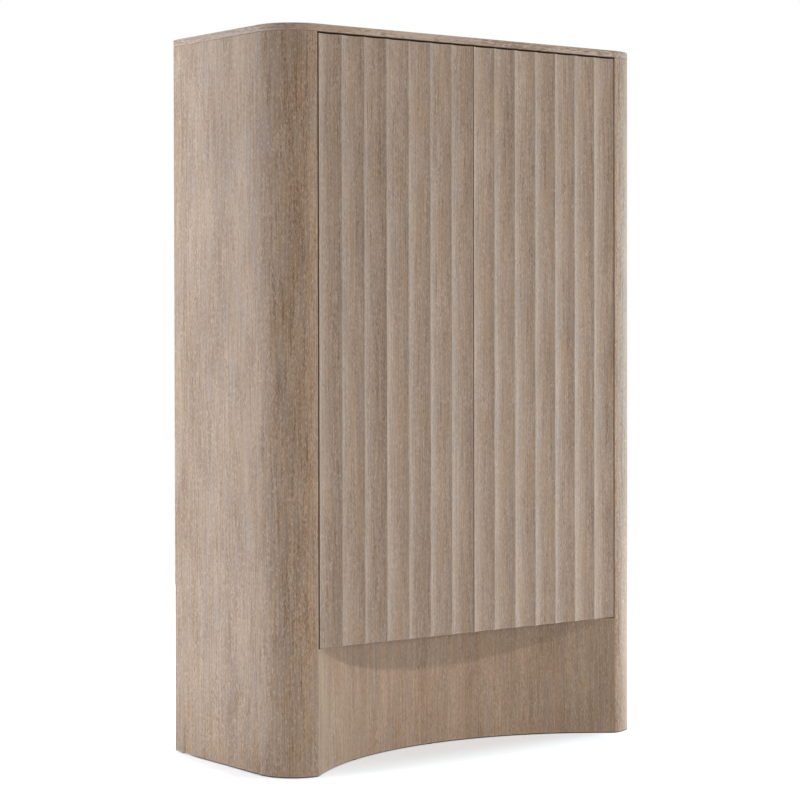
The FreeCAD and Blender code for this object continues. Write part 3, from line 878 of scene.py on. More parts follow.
class FinishBook:
    """Every finish on the cabinet."""

    cross_slope: float = 0.855

    def __init__(self) -> None:
        """Choose the finishes."""
        pale = {"slot": "inside_oak", "dark": (150, 131, 114), "light": (198, 182, 167), "lime_share": 0.4}
        plain = {"dark": (150, 124, 96), "light": (196, 172, 142), "gold": (188, 156, 118),
                 "grey": (160, 146, 128), "lime": (212, 194, 168), "lime_share": 0.15}
        rising = {"grain": Grain.ALONG_X, "tilt": self.cross_slope, **pale}
        falling = {"grain": Grain.ALONG_X, "tilt": -self.cross_slope, **pale}
        self.side_oak = Oak("side_oak_limed", "side_oak", seed=63.3, across=(1.1, 1.6), banding=0.95,
                            contrast=1.35, lime_share=0.62, dark=(127, 96, 69), light=(184, 155, 129))
        self.top_oak = Oak("top_oak_limed", "top_oak", seed=3.7, banding=1.4, contrast=1.9, laid=True,
                           dark=(134, 110, 92), light=(194, 171, 153))
        self.apron_oak = Oak("apron_oak_limed", "apron_oak", seed=3.1, banding=0.7, contrast=0.95,
                             dark=(132, 104, 79), light=(192, 165, 141))
        self.door_oak = Oak("door_oak_limed", "door_oak", seed=4.7, spread=0.35, contrast=0.98)
        self.core_oak = Oak("core_oak_limed", seed=5.9, **{**pale, "slot": "core_oak"})
        self.inside_upright = Oak("inside_oak_upright", seed=6.4, **pale)
        self.inside_level = Oak("inside_oak_level", seed=7.2, grain=Grain.ALONG_X, spread=0.3, **pale)
        self.inside_deep = Oak("inside_oak_deep", seed=8.8, grain=Grain.ALONG_Y, spread=0.4, **pale)
        self.cross_rising = Oak("cross_oak_rising", seed=9.5, **rising)
        self.cross_falling = Oak("cross_oak_falling", seed=10.1, **falling)
        self.frame_board = Oak("frame_board_plain", "frame_board", seed=11.6, grain=Grain.ALONG_X, **plain)
        self.back_board = Oak("back_board_plain", "back_board", seed=12.2, **plain)
        self.steel = Mottled("hinge_steel_nickel", "hinge_steel", (205, 202, 196), metallic=1.0,
                             pitch=0.00025, stretch=40.0, depth=0.12, rough=(0.22, 0.4))
        self.screw = Mottled("screw_steel_zinc", "screw_steel", (158, 158, 154), metallic=1.0,
                             pitch=0.0005, stretch=3.0, depth=0.2, rough=(0.25, 0.45))
        self.latch = Mottled("latch_plastic_grey", "latch_plastic", (112, 108, 102), pitch=0.0005, depth=0.12)
        self.glide = Mottled("glide_plastic_dark", "glide_plastic", (52, 48, 44),
                             pitch=0.0006, depth=0.2, rough=(0.45, 0.65))
        self.rubber = Mottled("bumper_rubber_clear", "bumper_rubber", (176, 170, 160),
                              pitch=0.0006, depth=0.1, rough=(0.5, 0.7))
        self.glass = Glass("shelf_glass_clear", "shelf_glass")
        self.mirror = Mirror("mirror_bronze", "mirror_glass")


class Bench:
    """Sets finished pieces on their bodies and dresses the solids that stay."""

    def place(self, surface: Surface, name: str, body: str, finish: Finish, node: str) -> None:
        """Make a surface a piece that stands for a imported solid.

        Args:
            surface: the piece's shape.
            name: its name.
            body: the body that it rides on.
            finish: its finish.
            node: the solid that it stands for.
        """
        piece = surface.piece(name)
        piece.data.materials.append(finish.material())
        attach(piece, body)
        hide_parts(node)
        log.info("%s: %d faces, rides on %s", name, len(piece.data.polygons), body)

    def dress(self, node: str, finish: Finish) -> None:
        """Give a solid that stays as it is a finish.

        Args:
            node: the solid.
            finish: its finish.
        """
        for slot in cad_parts[node].material_slots:
            slot.material = finish.material()
        log.info("%s: kept, %s", node, finish.name)


def corners_of(node: str) -> tuple[Array, Array]:
    """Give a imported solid's lowest and highest corners as arrays."""
    low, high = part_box(node)
    return np.array(low), np.array(high)


@dataclass
class Assembly:
    """A sub-assembly, with the finishes and the bench that it is made with."""

    book: FinishBook
    bench: Bench
    case: CaseSizes = CaseSizes()

    def build(self) -> None:
        """Build and dress the sub-assembly; each has its own way."""
        raise NotImplementedError


@dataclass
class Carcase(Assembly):
    """The outside of the case: the slab on top and the two sides that bend round the front corners."""

    thickness: float = 0.022
    jamb_bevel: float = 0.004
    jamb_flat: float = 0.002
    underside: float = 1.886
    height: float = 1.905
    bend_steps: int = 40
    slab_edge: float = 0.0012
    back_edge: float = 0.0012
    wall_edge: float = 0.0008
    bevel_edge: float = 0.0004
    figure_stretch: float = 1.8
    figure_widening: float = 2.2

    def slab(self) -> Surface:
        """Draw the top's plan, a rectangle with two large front corners, and carry it up its thickness.

        The figure runs along X on the flats, and drawn out along the outline on the edge. Distances along
        the outline start at the left front corner, and go below 0 behind it.

        Returns:
            The slab.
        """
        low, high = (-self.case.half_width, self.case.front), (self.case.half_width, self.case.half_depth)
        radii = [self.case.corner_radius] * 2 + [self.slab_edge] * 2
        outline = replace(Outline.rectangle(low, high, 0.0, self.bend_steps), radii=np.array(radii))
        slab = Surface.lofted(outline, self.underside, self.height, self.slab_edge, seams=(True, False))
        x, y = outline.drawn_in(0.0).T
        length = np.hypot(np.roll(x, -1) - x, np.roll(y, -1) - y)
        run = np.cumsum(length) - length
        run = np.where((x < 0) & (y > 0), run - length.sum(), run)
        lay = slab.points[:, Grain.ALONG_X.value]
        edge = slice(len(run), -len(run))
        across = slab.points[edge, 2] / self.figure_widening
        along = np.resize(run, len(across)) / self.figure_stretch
        lay[edge] = np.stack([across, across, along], axis=1)
        return replace(slab, lay=lay)

    def wall(self) -> Surface:
        """Draw the right side's plan, a bent strip from the back edge to the jamb, and carry it up.

        Returns:
            The right side.
        """
        outer, front, back = self.case.half_width, self.case.front, self.case.half_depth
        inner, inside = outer - self.thickness, front + self.thickness
        bevel = self.case.jamb + self.jamb_bevel
        corners = np.array([
            (inner, back), (inner, inside), (bevel, inside),
            (self.case.jamb, front), (outer, front), (outer, back),
        ])
        bend = inner - bevel - self.jamb_flat
        radii = np.array([
            self.wall_edge, bend, self.bevel_edge, self.wall_edge, self.case.corner_radius, self.back_edge,
        ])
        outline = Outline(corners, radii, self.bend_steps)
        return Surface.lofted(outline, self.case.foot, self.underside, self.wall_edge, seams=(False, True))

    def build(self) -> None:
        """Build and finish the slab and both sides."""
        self.bench.place(self.slab(), "top_slab", "case", self.book.top_oak, "top_panel")
        for side in Side:
            wall = self.wall().handed(side)
            self.bench.place(wall, f"{side.word}_side", "case", self.book.side_oak, f"{side.word}_side_shell")


@dataclass
class Base(Assembly):
    """The hollow-curved apron and what stands behind and under it."""

    thickness: float = 0.018
    top: float = 0.322
    arc_points: int = 121
    rear_reach: float = 0.0034
    face_edge: float = 0.0009
    rear_edge: float = 0.0005
    rim: float = 0.001
    edge_steps: int = 8
    edge_support: float = 0.001
    glide_radius: float = 0.008
    glide_rim: float = 0.0007
    glide_spots: tuple[Spot, ...] = (
        (-0.602, 0.2275), (-0.602, -0.1515), (0.602, 0.2275), (0.602, -0.1515), (0.0, 0.2335),
    )
    apron_glides: Row = (-0.3, 0.0, 0.3)

    def arc(self, radius: float, half: float) -> Array:
        """Draw an arc from left to right, as equal turns about the hollow's middle."""
        turn = np.linspace(-1, 1, self.arc_points) * math.asin(half / radius)
        return np.stack([radius * np.sin(turn), self.case.hollow_middle + radius * np.cos(turn)], axis=1)

    def apron(self) -> Surface:
        """Draw the apron's plan between two arcs about one middle, and carry it up.

        Returns:
            The apron.
        """
        radius, jamb = self.case.hollow_radius, self.case.jamb
        rear = self.arc(radius + self.thickness, jamb + self.rear_reach)[::-1]
        corners = np.concatenate([self.arc(radius, jamb), rear])
        radii = np.zeros(len(corners))
        radii[[0, self.arc_points - 1]] = self.face_edge
        radii[[self.arc_points, -1]] = self.rear_edge
        outline = Outline(corners, radii, self.edge_steps, self.edge_support)
        return Surface.lofted(outline, self.case.foot, self.top, self.rim)

    def glides(self) -> Surface:
        """Carry small circles from the floor to the case's feet, some of them along the apron's middle line.

        Returns:
            The glides.
        """
        line = self.case.hollow_radius + self.thickness / 2
        under = [(x, self.case.hollow_middle + math.sqrt(line ** 2 - x ** 2)) for x in self.apron_glides]
        circles = [Outline.circle(spot, self.glide_radius) for spot in (*self.glide_spots, *under)]
        return Surface.joined([Surface.lofted(ring, 0.0, self.case.foot, self.glide_rim) for ring in circles])

    def build(self) -> None:
        """Build the apron and glides, and dress the hidden frame."""
        self.bench.place(self.apron(), "apron_front", "case", self.book.apron_oak, "base_apron")
        self.bench.place(self.glides(), "glide_feet", "case", self.book.glide, "floor_glides")
        for node in ("base_ribs", "base_rear_rail"):
            self.bench.dress(node, self.book.frame_board)


@dataclass
class Door(Assembly):
    """One door: coved staves on a flat core, with the steel let into its back.

    The tones are the staves' board numbers, from the middle of the cabinet outward.
    """

    side: Side = Side.LEFT
    inner: float = 0.0015
    outer: float = 0.5015
    stave_back: float = -0.2455
    bottom: float = 0.325
    top: float = 1.8815
    cove: float = 0.007
    land: float = 0.0007
    cove_points: int = 41
    edge: float = 0.0003
    edge_steps: int = 5
    edge_support: float = 0.0004
    rim_support: float = 0.0008
    ridge_wear: float = 0.7
    tones: ClassVar[dict[Side, Row]] = {
        Side.LEFT: (0.35, 0.62, 0.5, 0.7, 0.28, 0.55, 0.44),
        Side.RIGHT: (0.66, 0.38, 0.58, 0.47, 0.73, 0.33, 0.52),
    }

    def stave(self, index: int) -> Surface:
        """Draw one stave's plan and carry it up the door.

        The cove is the circle through both ridges and the point cove deep between them: its radius is
        (half-width squared + cove squared) / (2 cove).

        Args:
            index: the stave's place from the middle of the cabinet outward.

        Returns:
            The stave.
        """
        tones = self.tones[self.side]
        front, back = self.case.front, self.stave_back
        width = (self.outer - self.inner) / len(tones)
        left = self.inner + index * width
        right = left + width
        half = width / 2 - self.land
        radius = (half ** 2 + self.cove ** 2) / (2 * self.cove)
        turn = np.linspace(-1, 1, self.cove_points) * math.asin(half / radius)
        across = (left + right) / 2 + radius * np.sin(turn)
        hollow = np.stack([across, front + self.cove - radius + radius * np.cos(turn)], axis=1)
        flat = np.stack([across[::-1], np.full(len(across), back)], axis=1)
        right_edge = [(right, front), (right, back)]
        corners = np.concatenate([[(left, front)], hollow, right_edge, flat, [(left, back)]])
        middle = len(hollow) + 1
        radii = np.zeros(len(corners))
        radii[[0, middle, middle + 1, -1]] = self.edge
        # Pale mark on the ridges: partly wear, partly a painted highlight where the ridges catch the side
        # light.
        worn = np.zeros(len(corners))
        worn[[1, len(hollow)]] = self.ridge_wear
        outline = Outline(corners, radii, self.edge_steps, self.edge_support, worn)
        # The stave edges that face the gaps get painted warm bounce light.
        return Surface.lofted(
            outline, self.bottom, self.top, self.edge, tones[index], support=self.rim_support, sawn=True,
        )

    def build(self) -> None:
        """Build the staves, and dress the core and its steel."""
        word = self.side.word
        staves = [self.stave(index) for index in range(len(self.tones[self.side]))]
        flutes = Surface.joined(staves).handed(self.side)
        self.bench.place(
            flutes, f"{word}_door_flutes", f"{word}_door", self.book.door_oak, f"{word}_door_staves",
        )
        self.bench.dress(f"{word}_door_core", self.book.core_oak)
        for node in ("door_strike", "hinge_cups", "hinge_pins"):
            self.bench.dress(f"{word}_{node}", self.book.steel)


@dataclass(frozen=True)
class ScrewHead:
    """A screw's head that points up from the origin, with a cross sunk in it.

    The rim's rises, the dome's drop and the cross's depth are shares of the height, and all other shares are
    of the radius.
    """

    radius: float = 0.0036
    height: float = 0.002
    around: int = 48
    rim_shares: Row = (1.0, 1.0, 0.985, 0.94)
    rim_rises: Row = (0.0, 0.5, 0.62, 0.7)
    dome_from_share: float = 0.88
    dome_to_share: float = 0.02
    dome_rings: int = 16
    dome_drop_share: float = 0.3
    cross_depth_share: float = 0.45
    cross_half_share: float = 0.13
    cross_slope_share: float = 0.05
    cross_reach_share: float = 0.6
    cross_end_share: float = 0.08

    def surface(self) -> Surface:
        """Raise the head over a polar grid.

        With q the share of the radius, the height is h (1 - drop q squared), it falls to 0 over the rim, and
        it is lower by the cross's depth where the lesser of |x| and |y| is inside the cross's half-width and
        the greater inside its reach.

        Returns:
            The closed head.
        """
        dome_shares = np.linspace(self.dome_from_share, self.dome_to_share, self.dome_rings)
        share = np.concatenate([self.rim_shares, dome_shares])[:, None]
        turn = np.linspace(0, 2 * np.pi, self.around, endpoint=False)
        x, y = share * np.cos(turn), share * np.sin(turn)
        dome = 1 - self.dome_drop_share * dome_shares ** 2
        narrow, wide = np.minimum(np.abs(x), np.abs(y)), np.maximum(np.abs(x), np.abs(y))
        inside = np.clip((self.cross_half_share - narrow) / self.cross_slope_share, 0, 1)
        inside *= np.clip((self.cross_reach_share - wide) / self.cross_end_share, 0, 1)
        z = np.concatenate([self.rim_rises, dome])[:, None] - self.cross_depth_share * inside
        rings = np.stack([x * self.radius, y * self.radius, z * self.height], axis=-1)
        return Surface.from_rings(rings, np.zeros(x.size))


@dataclass
class Hinges(Assembly):
    """The arms, plates and screws of one side's four hinges."""

    side: Side = Side.LEFT
    pivot: Spot = (0.4795, -0.2405)
    eye_radius: float = 0.004
    eye_points: int = 14
    eye_start_share: float = 0.05
    arm_half: float = 0.0025
    arm_height: float = 0.016
    arm_rim: float = 0.0006
    arm_support: float = 0.001
    bar_steps: int = 8
    bar_radii: Row = (0.002, 0.0012, 0.0012, 0.0012, 0.002, 0.003)
    crank: Spot = (-0.209697, -0.203697)
    root: float = 0.004
    plate_face: float = 0.5065
    gable: float = 0.5095
    plate_back: float = -0.159697
    plate_height: float = 0.036
    plate_radius: float = 0.006
    plate_steps: int = 10
    plate_rim: float = 0.0005
    screw: ScrewHead = ScrewHead()
    screw_reach: float = 0.013
    heights: Row = (0.455, 0.887167, 1.319333, 1.7515)

    def arm(self, height: float) -> Surface:
        """Draw an arm's plan, a round eye on a bar that is cranked out to the plate, and carry it up.

        Args:
            height: the middle of the hinge.

        Returns:
            The arm.
        """
        x, y = self.pivot
        front, back = self.crank
        root = self.plate_face - self.root
        neck = math.pi - math.asin(self.arm_half / self.eye_radius)
        turn = np.linspace(self.eye_start_share, 1, self.eye_points) * neck
        rise = y - self.eye_radius * np.cos(turn)
        reach = self.eye_radius * np.sin(turn)
        bar = np.array([
            (x + self.arm_half, front), (self.plate_face, front), (self.plate_face, self.plate_back),
            (root, self.plate_back), (root, back), (x - self.arm_half, back),
        ])
        right, left = (np.stack([x + sign * reach, rise], axis=1) for sign in (1, -1))
        corners = np.concatenate([right, bar, left[::-1]])
        plain = np.zeros(len(turn))
        radii = np.concatenate([plain, self.bar_radii, plain])
        outline = Outline(corners, radii, self.bar_steps, self.arm_support)
        half = self.arm_height / 2
        return Surface.lofted(outline, height - half, height + half, self.arm_rim, support=self.arm_rim)

    def plate(self, height: float) -> Surface:
        """Draw a plate's face with round corners and carry it out from the gable.

        Args:
            height: the middle of the hinge.

        Returns:
            The plate.
        """
        half = self.plate_height / 2
        low, high = (self.crank[0], height - half), (self.plate_back, height + half)
        outline = Outline.rectangle(low, high, self.plate_radius, self.plate_steps)
        flat = Surface.lofted(outline, self.plate_face, self.gable, self.plate_rim)
        return flat.turned(Swing.UP_TO_X)

    def screws(self) -> list[Surface]:
        """Set two screw heads on each plate, facing the middle of the cabinet.

        Returns:
            The heads.
        """
        head = self.screw.surface().turned(Swing.UP_TO_X).half_turned()
        middle = (self.crank[0] + self.plate_back) / 2
        spots = [height + sign * self.screw_reach for height in self.heights for sign in (-1, 1)]
        return [head.moved((self.plate_face, middle, spot)) for spot in spots]

    def build(self) -> None:
        """Build and finish the side's hinges."""
        sets = {
            "hinge_arms": ([self.arm(height) for height in self.heights], self.book.steel),
            "hinge_plates": ([self.plate(height) for height in self.heights], self.book.steel),
            "hinge_screws": (self.screws(), self.book.screw),
        }
        for name, (parts, finish) in sets.items():
            node = f"{self.side.word}_{name}"
            self.bench.place(Surface.joined(parts).handed(self.side), f"{node}_shaped", "case", finish, node)


@dataclass
class Latches(Assembly):
    """The push latches under the front rail and the stop that the doors close against."""

    offset: float = 0.04
    height: float = 1.829
    housing_edge: float = 0.0012
    plunger_radius: float = 0.004
    plunger_rim: float = 0.0016
    bumper_radius: float = 0.005
    bumper_rim: float = 0.0008
    bumper_spots: Row = (-0.3955, -0.06, 0.06, 0.3955)
    rod_support: float = 0.0001

    def rod(self, middle: Spot, radius: float, depths: tuple[float, float], rim: float) -> Surface:
        """Carry a circle of the front view from one depth to another, with round ends."""
        ring = Outline.circle(middle[::-1], radius)
        return Surface.lofted(ring, *depths, rim, support=self.rod_support).turned(Swing.UP_TO_Y)

    def housings(self) -> Surface:
        """Give each latch a square housing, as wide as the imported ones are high.

        Returns:
            Both housings.
        """
        low, high = corners_of("latch_housings")
        half = np.array([(high[2] - low[2]) / 2, 0, 0])
        middles = [np.array([x, 0, 0]) for x in (-self.offset, self.offset)]
        near, far = low * np.array([0, 1, 1]) - half, high * np.array([0, 1, 1]) + half
        return Surface.joined([Surface.plank(near + x, far + x, self.housing_edge) for x in middles])

    def bumpers(self) -> Surface:
        """Set a soft dot on the stop at each spot.

        Returns:
            The dots.
        """
        low, high = corners_of("door_bumpers")
        level = (low[2] + high[2]) / 2
        depths = (low[1], high[1])
        dots = [self.rod((x, level), self.bumper_radius, depths, self.bumper_rim) for x in self.bumper_spots]
        return Surface.joined(dots)

    def build(self) -> None:
        """Build the housings, plungers and bumpers."""
        self.bench.place(self.housings(), "latch_bodies", "case", self.book.latch, "latch_housings")
        for side in Side:
            word = side.word
            low, high = corners_of(f"{word}_latch_plunger")
            middle, depths = (self.offset, self.height), (low[1], high[1])
            nose = self.rod(middle, self.plunger_radius, depths, self.plunger_rim).handed(side)
            self.bench.place(
                nose, f"{word}_latch_nose", f"{word}_plunger", self.book.latch, f"{word}_latch_plunger",
            )
        self.bench.place(self.bumpers(), "bumper_dots", "case", self.book.rubber, "door_bumpers")


@dataclass
class BarFittings(Assembly):
    """What the doors hide: shelves, dividers, bottle cross, stemware rack, mirror and glass shelves."""

    edge: float = 0.001
    rack_pitch: float = 0.11
    rack_count: int = 7
    slat_width: float = 0.078
    spacer_width: float = 0.02
    rack_first_tone: float = 0.2
    rack_tone_step: float = 0.1
    rack_tone_stride: int = 3
    board_tones: ClassVar[dict[str, float]] = {
        "bar_shelf": 0.6, "rack_shelf": 0.4, "lower_shelf": 0.55, "latch_rail": 0.45, "door_stop": 0.5,
    }

    def board(self, node: str, name: str, finish: Finish, tone: float = 0.5) -> None:
        """Build a square-cut board in a solid's own box."""
        surface = Surface.plank(*corners_of(node), self.edge, tone)
        self.bench.place(surface, name, "case", finish, node)

    def rack(self, node: str, name: str, width: float) -> None:
        """Build one layer of the stemware rack, evenly spaced strips that run front to back.

        Args:
            node: the layer's solid.
            name: the piece's name.
            width: a strip's width.
        """
        low, high = corners_of(node)
        strips = []
        for index in range(self.rack_count):
            middle = (index - (self.rack_count - 1) / 2) * self.rack_pitch
            near = np.array([middle - width / 2, low[1], low[2]])
            far = np.array([middle + width / 2, high[1], high[2]])
            steps = index * self.rack_tone_stride % self.rack_count
            tone = self.rack_first_tone + self.rack_tone_step * steps
            strips.append(Surface.plank(near, far, self.edge, tone))
        self.bench.place(Surface.joined(strips), name, "case", self.book.inside_deep, node)

    def build(self) -> None:
        """Build the boards, and dress the drilled and notched ones as they are."""
        for node, tone in self.board_tones.items():
            self.board(node, f"{node}_board", self.book.inside_level, tone)
        self.rack("glass_rack_slats", "stem_slats", self.slat_width)
        self.rack("glass_rack_spacers", "stem_spacers", self.spacer_width)
        for side in Side:
            node = f"{side.word}_glass_shelf"
            self.board(node, f"{node}_plate", self.book.glass)
        self.board("mirror_panel", "mirror_plate", self.book.mirror)
        for node in ("lower_divider", "upper_divider", "left_gable", "right_gable"):
            self.bench.dress(node, self.book.inside_upright)
        self.bench.dress("cabinet_floor", self.book.inside_level)
        self.bench.dress("bottle_cross_long", self.book.cross_rising)
        self.bench.dress("bottle_cross_halves", self.book.cross_falling)
        self.bench.dress("shelf_pins", self.book.steel)


@dataclass
class BackFrame(Assembly):
    """The back panel with its screws, the wall rail, and the formers inside the corners."""

    face: float = 0.2515
    screw: ScrewHead = ScrewHead()
    screw_rows: Row = (0.161, 1.856)
    screw_columns: Row = (-0.45, -0.15, 0.15, 0.45)

    def build(self) -> None:
        """Build the screws and dress the boards."""
        head = self.screw.surface().turned(Swing.UP_TO_Y)
        heads = [head.moved((x, self.face, z)) for z in self.screw_rows for x in self.screw_columns]
        screws = Surface.joined(heads)
        self.bench.place(screws, "back_screw_heads", "case", self.book.screw, "back_panel_screws")
        self.bench.dress("back_panel", self.book.back_board)
        self.bench.dress("wall_rail", self.book.inside_level)
        for side in Side:
            self.bench.dress(f"{side.word}_corner_formers", self.book.frame_board)


@dataclass(frozen=True)
class Lamp:
    """A soft rectangular lamp."""

    name: str
    place: Point
    aim: Point
    size: tuple[float, float]
    power: float
    tint: tuple[float, float, float] = (1.0, 1.0, 1.0)
    mirrored: bool = True

    def build(self) -> None:
        """Hang the lamp so that it faces its aim."""
        light = bpy.data.lights.new(self.name, "AREA")
        light.color = self.tint
        light.shape = "RECTANGLE"
        light.size, light.size_y = self.size
        light.energy = self.power
        lamp = bpy.data.objects.new(self.name, light)
        lamp.location = self.place
        lamp.rotation_euler = (Vector(self.aim) - Vector(self.place)).to_track_quat("-Z", "Y").to_euler()
        lamp.visible_camera = False
        lamp.visible_glossy = self.mirrored
        bpy.context.scene.collection.objects.link(lamp)


@dataclass
class Studio:
    """The pale floor, the white surround, the lamps and the camera."""

    case: CaseSizes = CaseSizes()
    ambient: float = 0.2
    floor_finish: str = "floor_pale"
    floor_half: float = 3.6
    floor_colour: Rgba = (0.79, 0.79, 0.79, 1.0)
    floor_roughness: float = 0.9
    floor_glow: float = 0.41
    # The painted cool tint and the painted shade round the base, which grade the floor's white.
    cool_glow: Rgba = (0.96, 1.0, 1.03, 1.0)
    cool_reach: float = 0.4
    shade_reach: float = 0.44
    shade_depth: float = 0.12
    shade_shift: float = 0.1
    flank_haste: float = 2.2
    hollow_blur: float = 0.003
    footprint_blur: float = 0.002
    lamps: tuple[Lamp, ...] = (
        Lamp("key_lamp", (4.3, -4.9, 3.35), (0.0, -0.2, 0.6), (0.25, 0.25), 140.0, mirrored=False),
        Lamp("right_lamp", (3.9, -0.6, 1.2), (0.5, -0.1, 1.05), (1.0, 1.6), 46.0, (0.42, 0.77, 1.0)),
        Lamp("right_foot_lamp", (1.7, -0.3, 0.2), (0.6, -0.2, 0.25), (0.4, 0.3), 3.2, (1.0, 0.97, 0.93)),
        Lamp("right_low_lamp", (2.9, -2.2, 0.5), (0.4, -0.2, 0.7), (1.0, 0.9), 11.2),
        Lamp("left_lamp", (-2.4, 0.3, 1.0), (-0.6, 0.1, 0.95), (0.7, 2.7), 21.0, (0.87, 0.915, 1.0)),
        Lamp("left_strip_lamp", (-0.95, 0.55, 1.0), (-0.613, 0.1, 0.95), (0.15, 2.8), 6.6, (0.82, 0.91, 1.0)),
        Lamp("left_low_lamp", (-1.2, 0.1, 0.2), (-0.613, 0.05, 0.25), (0.6, 0.3), 0.5, (0.86, 0.915, 1.0)),
        Lamp("front_low_lamp", (0.3, -4.5, 0.5), (0.0, -0.2, 0.6), (3.0, 0.8), 2.0, mirrored=False),
        Lamp("front_lamp", (0.3, -4.5, 1.2), (0.0, -0.2, 0.8), (3.0, 0.4), 43.4, (0.98, 0.99, 1.0), False),
        Lamp("back_lamp", (0.9, 4.6, 1.6), (0.0, 0.3, 0.9), (1.6, 1.6), 70.0),
        Lamp("top_lamp", (0.0, 0.06, 4.2), (0.0, 0.06, 0.0), (1.0, 0.5), 24.0),
    )
    eye: Point = (-3.8774, -5.0456, 1.1638)
    heading: float = 0.64839
    pitch: float = -0.01555
    roll: float = -0.00176
    lens: float = 104.267
    sensor: float = 36.0
    shift: tuple[float, float] = (0.00149, -0.05837)
    farthest: float = 200.0

    def seen_directly(self, wires: Wiring) -> Socket:
        """Tell the rays that see the surround itself, straight, in a mirror or through glass.

        Args:
            wires: the material's wiring.

        Returns:
            1 for these rays, else 0.
        """
        path = wires.node("ShaderNodeLightPath").outputs
        mirrored = wires.sum("MAXIMUM", path["Is Glossy Ray"], path["Is Transmission Ray"])
        return wires.sum("MAXIMUM", path["Is Camera Ray"], mirrored)

    def surround(self) -> None:
        """Make the world white where it is seen, and an even soft light elsewhere."""
        world = bpy.data.worlds.new("studio_white")
        world.use_nodes = True
        wires = Wiring(world.node_tree)
        strength = wires.sum("MULTIPLY_ADD", self.seen_directly(wires), 1.0 - self.ambient, self.ambient)
        wires.feed(world.node_tree.nodes["Background"], {"Color": WHITE, "Strength": strength})
        bpy.context.scene.world = world

    def away(
        self, wires: Wiring, place: Socket, half: Spot, middle: float = 0.0, radius: float = 0.0,
        haste: float = 1.0,
    ) -> Socket:
        """Measure how far a spot of the floor is from a rectangle with rounded corners.

        It is the length of what |x - middle| and |y| exceed the half-sizes less the radius by, less the
        radius.

        Args:
            wires: the floor material's wiring.
            place: the spot.
            half: the rectangle's half-sizes.
            middle: its middle in X.
            radius: the corners' radius.
            haste: what the distance in X is multiplied by.

        Returns:
            The distance.
        """
        nought = (0.0, 0.0, 0.0)
        spot = wires.vector("ABSOLUTE", wires.vector("SUBTRACT", place, (middle, 0.0, 0.0)), nought)
        core = (half[0] - radius, half[1] - radius, 0.0)
        beyond = wires.vector("MAXIMUM", wires.vector("SUBTRACT", spot, core), nought)
        hastened = wires.vector("MULTIPLY", beyond, (haste, 1.0, 1.0))
        return wires.sum("SUBTRACT", wires.length(hastened), radius)

    def lift(self, wires: Wiring) -> tuple[Socket, Socket]:
        """Grade the floor's own white into a painted shadow: none under the base, some in its hollow, and
        full a little way off.

        The painted shade stands for the contact shadow round the base and the dark line under it, and it
        stops short at the right, where the lamps are. The base covers what is inside the footprint and
        farther than the hollow's radius from the hollow's middle. The white is painted cool near the apron,
        which makes up for the warm light off it.

        Args:
            wires: the floor material's wiring.

        Returns:
            The white's colour and its strength.
        """
        case, place = self.case, wires.place()
        core = (case.half_width - self.shade_shift, case.half_depth - self.shade_depth)
        off = self.away(wires, place, core, -self.shade_shift, haste=self.flank_haste)
        lifted = wires.step(off, 0.0, self.shade_reach, 1.0 - self.floor_glow)
        white = wires.sum("ADD", lifted, self.floor_glow)
        arm = wires.length(wires.vector("SUBTRACT", place, (0.0, case.hollow_middle, 0.0)))
        under = wires.step(arm, case.hollow_radius, case.hollow_radius + self.hollow_blur)
        hollow = wires.sum("SUBTRACT", 1.0, under)
        footprint = self.away(wires, place, (case.half_width, case.half_depth), radius=case.corner_radius)
        # Painted shade: the floor's white is taken away under the base, which paints a dark line there.
        bare = wires.sum("MAXIMUM", hollow, wires.step(footprint, 0.0, self.footprint_blur))
        close = wires.step(arm, case.hollow_radius - self.cool_reach, case.hollow_radius)
        colour = wires.blend(wires.sum("MULTIPLY", hollow, close), WHITE, self.cool_glow)
        return colour, wires.sum("MULTIPLY", white, bare)

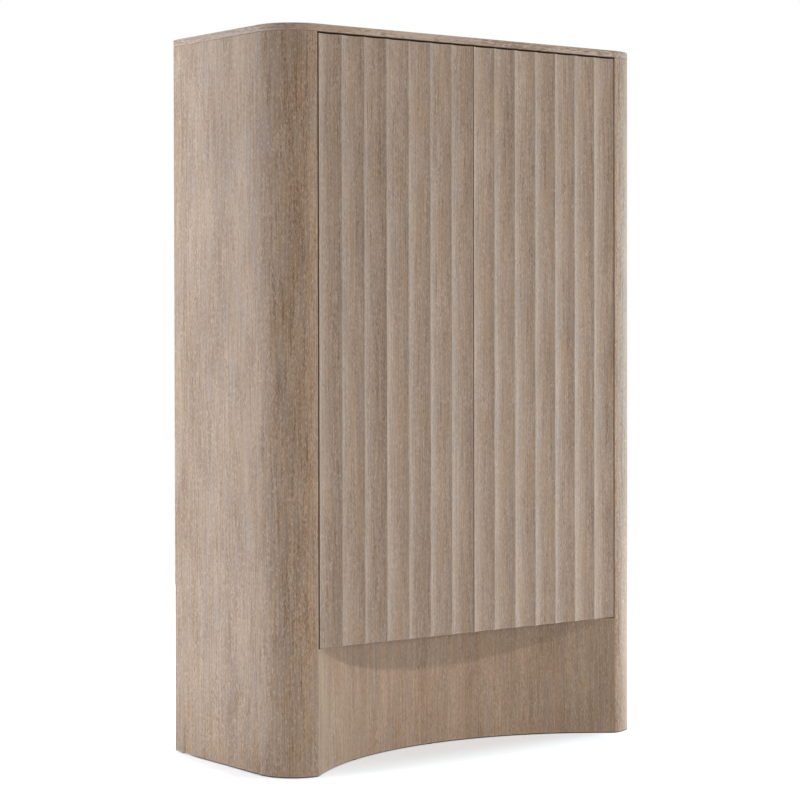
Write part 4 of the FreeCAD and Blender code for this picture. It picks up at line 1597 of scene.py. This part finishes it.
    def floor(self) -> None:
        """Lay a pale floor that keeps shadows, with painted shade round the base, and is white where none
        falls.
        """
        reach = self.floor_half
        mesh = bpy.data.meshes.new("floor")
        corners = [(-reach, -reach, 0), (reach, -reach, 0), (reach, reach, 0), (-reach, reach, 0)]
        mesh.from_pydata(corners, [], [[0, 1, 2, 3]])
        floor = bpy.data.objects.new("floor", mesh)
        bpy.context.scene.collection.objects.link(floor)
        material = bpy.data.materials.new(self.floor_finish)
        material.use_nodes = True
        wires = Wiring(material.node_tree)
        colour, strength = self.lift(wires)
        wires.feed(material.node_tree.nodes["Principled BSDF"], {
            "Emission Color": colour,
            "Emission Strength": wires.sum("MULTIPLY", self.seen_directly(wires), strength),
            "Base Color": self.floor_colour, "Roughness": self.floor_roughness, "Specular IOR Level": 0.0,
        })
        mesh.materials.append(material)

    def camera(self) -> None:
        """Set the camera from its heading, pitch and roll.

        It looks along (sin h cos p, cos h cos p, sin p), its right is (cos h, -sin h, 0), its up is their
        cross product, and the roll turns right and up about the line of sight.
        """
        h, p = self.heading, self.pitch
        ahead = Vector((math.sin(h) * math.cos(p), math.cos(h) * math.cos(p), math.sin(p)))
        right = Vector((math.cos(h), -math.sin(h), 0.0))
        up = right.cross(ahead)
        right, up = (right * math.cos(self.roll) + up * math.sin(self.roll),
                     up * math.cos(self.roll) - right * math.sin(self.roll))
        lens = bpy.data.cameras.new("camera")
        lens.lens = self.lens
        lens.sensor_width = self.sensor
        lens.shift_x, lens.shift_y = self.shift
        lens.clip_end = self.farthest
        camera = bpy.data.objects.new("camera", lens)
        turn = Matrix((right, up, -ahead)).transposed().to_4x4()
        camera.matrix_world = Matrix.Translation(self.eye) @ turn
        bpy.context.scene.collection.objects.link(camera)
        bpy.context.scene.camera = camera

    def build(self) -> None:
        """Set up the floor, surround, lamps and camera."""
        bpy.context.scene.view_settings.view_transform = "Standard"
        self.surround()
        self.floor()
        for lamp in self.lamps:
            lamp.build()
        self.camera()


def main() -> None:
    """Build the cabinet's assemblies in order, then the studio."""
    logging.basicConfig(level=logging.INFO, format="%(name)s %(message)s")
    book = FinishBook()
    bench = Bench()
    Carcase(book, bench).build()
    Base(book, bench).build()
    for side in Side:
        Door(book, bench, side=side).build()
        Hinges(book, bench, side=side).build()
    Latches(book, bench).build()
    BarFittings(book, bench).build()
    BackFrame(book, bench).build()
    Studio().build()


if __name__ == "__main__":
    main()
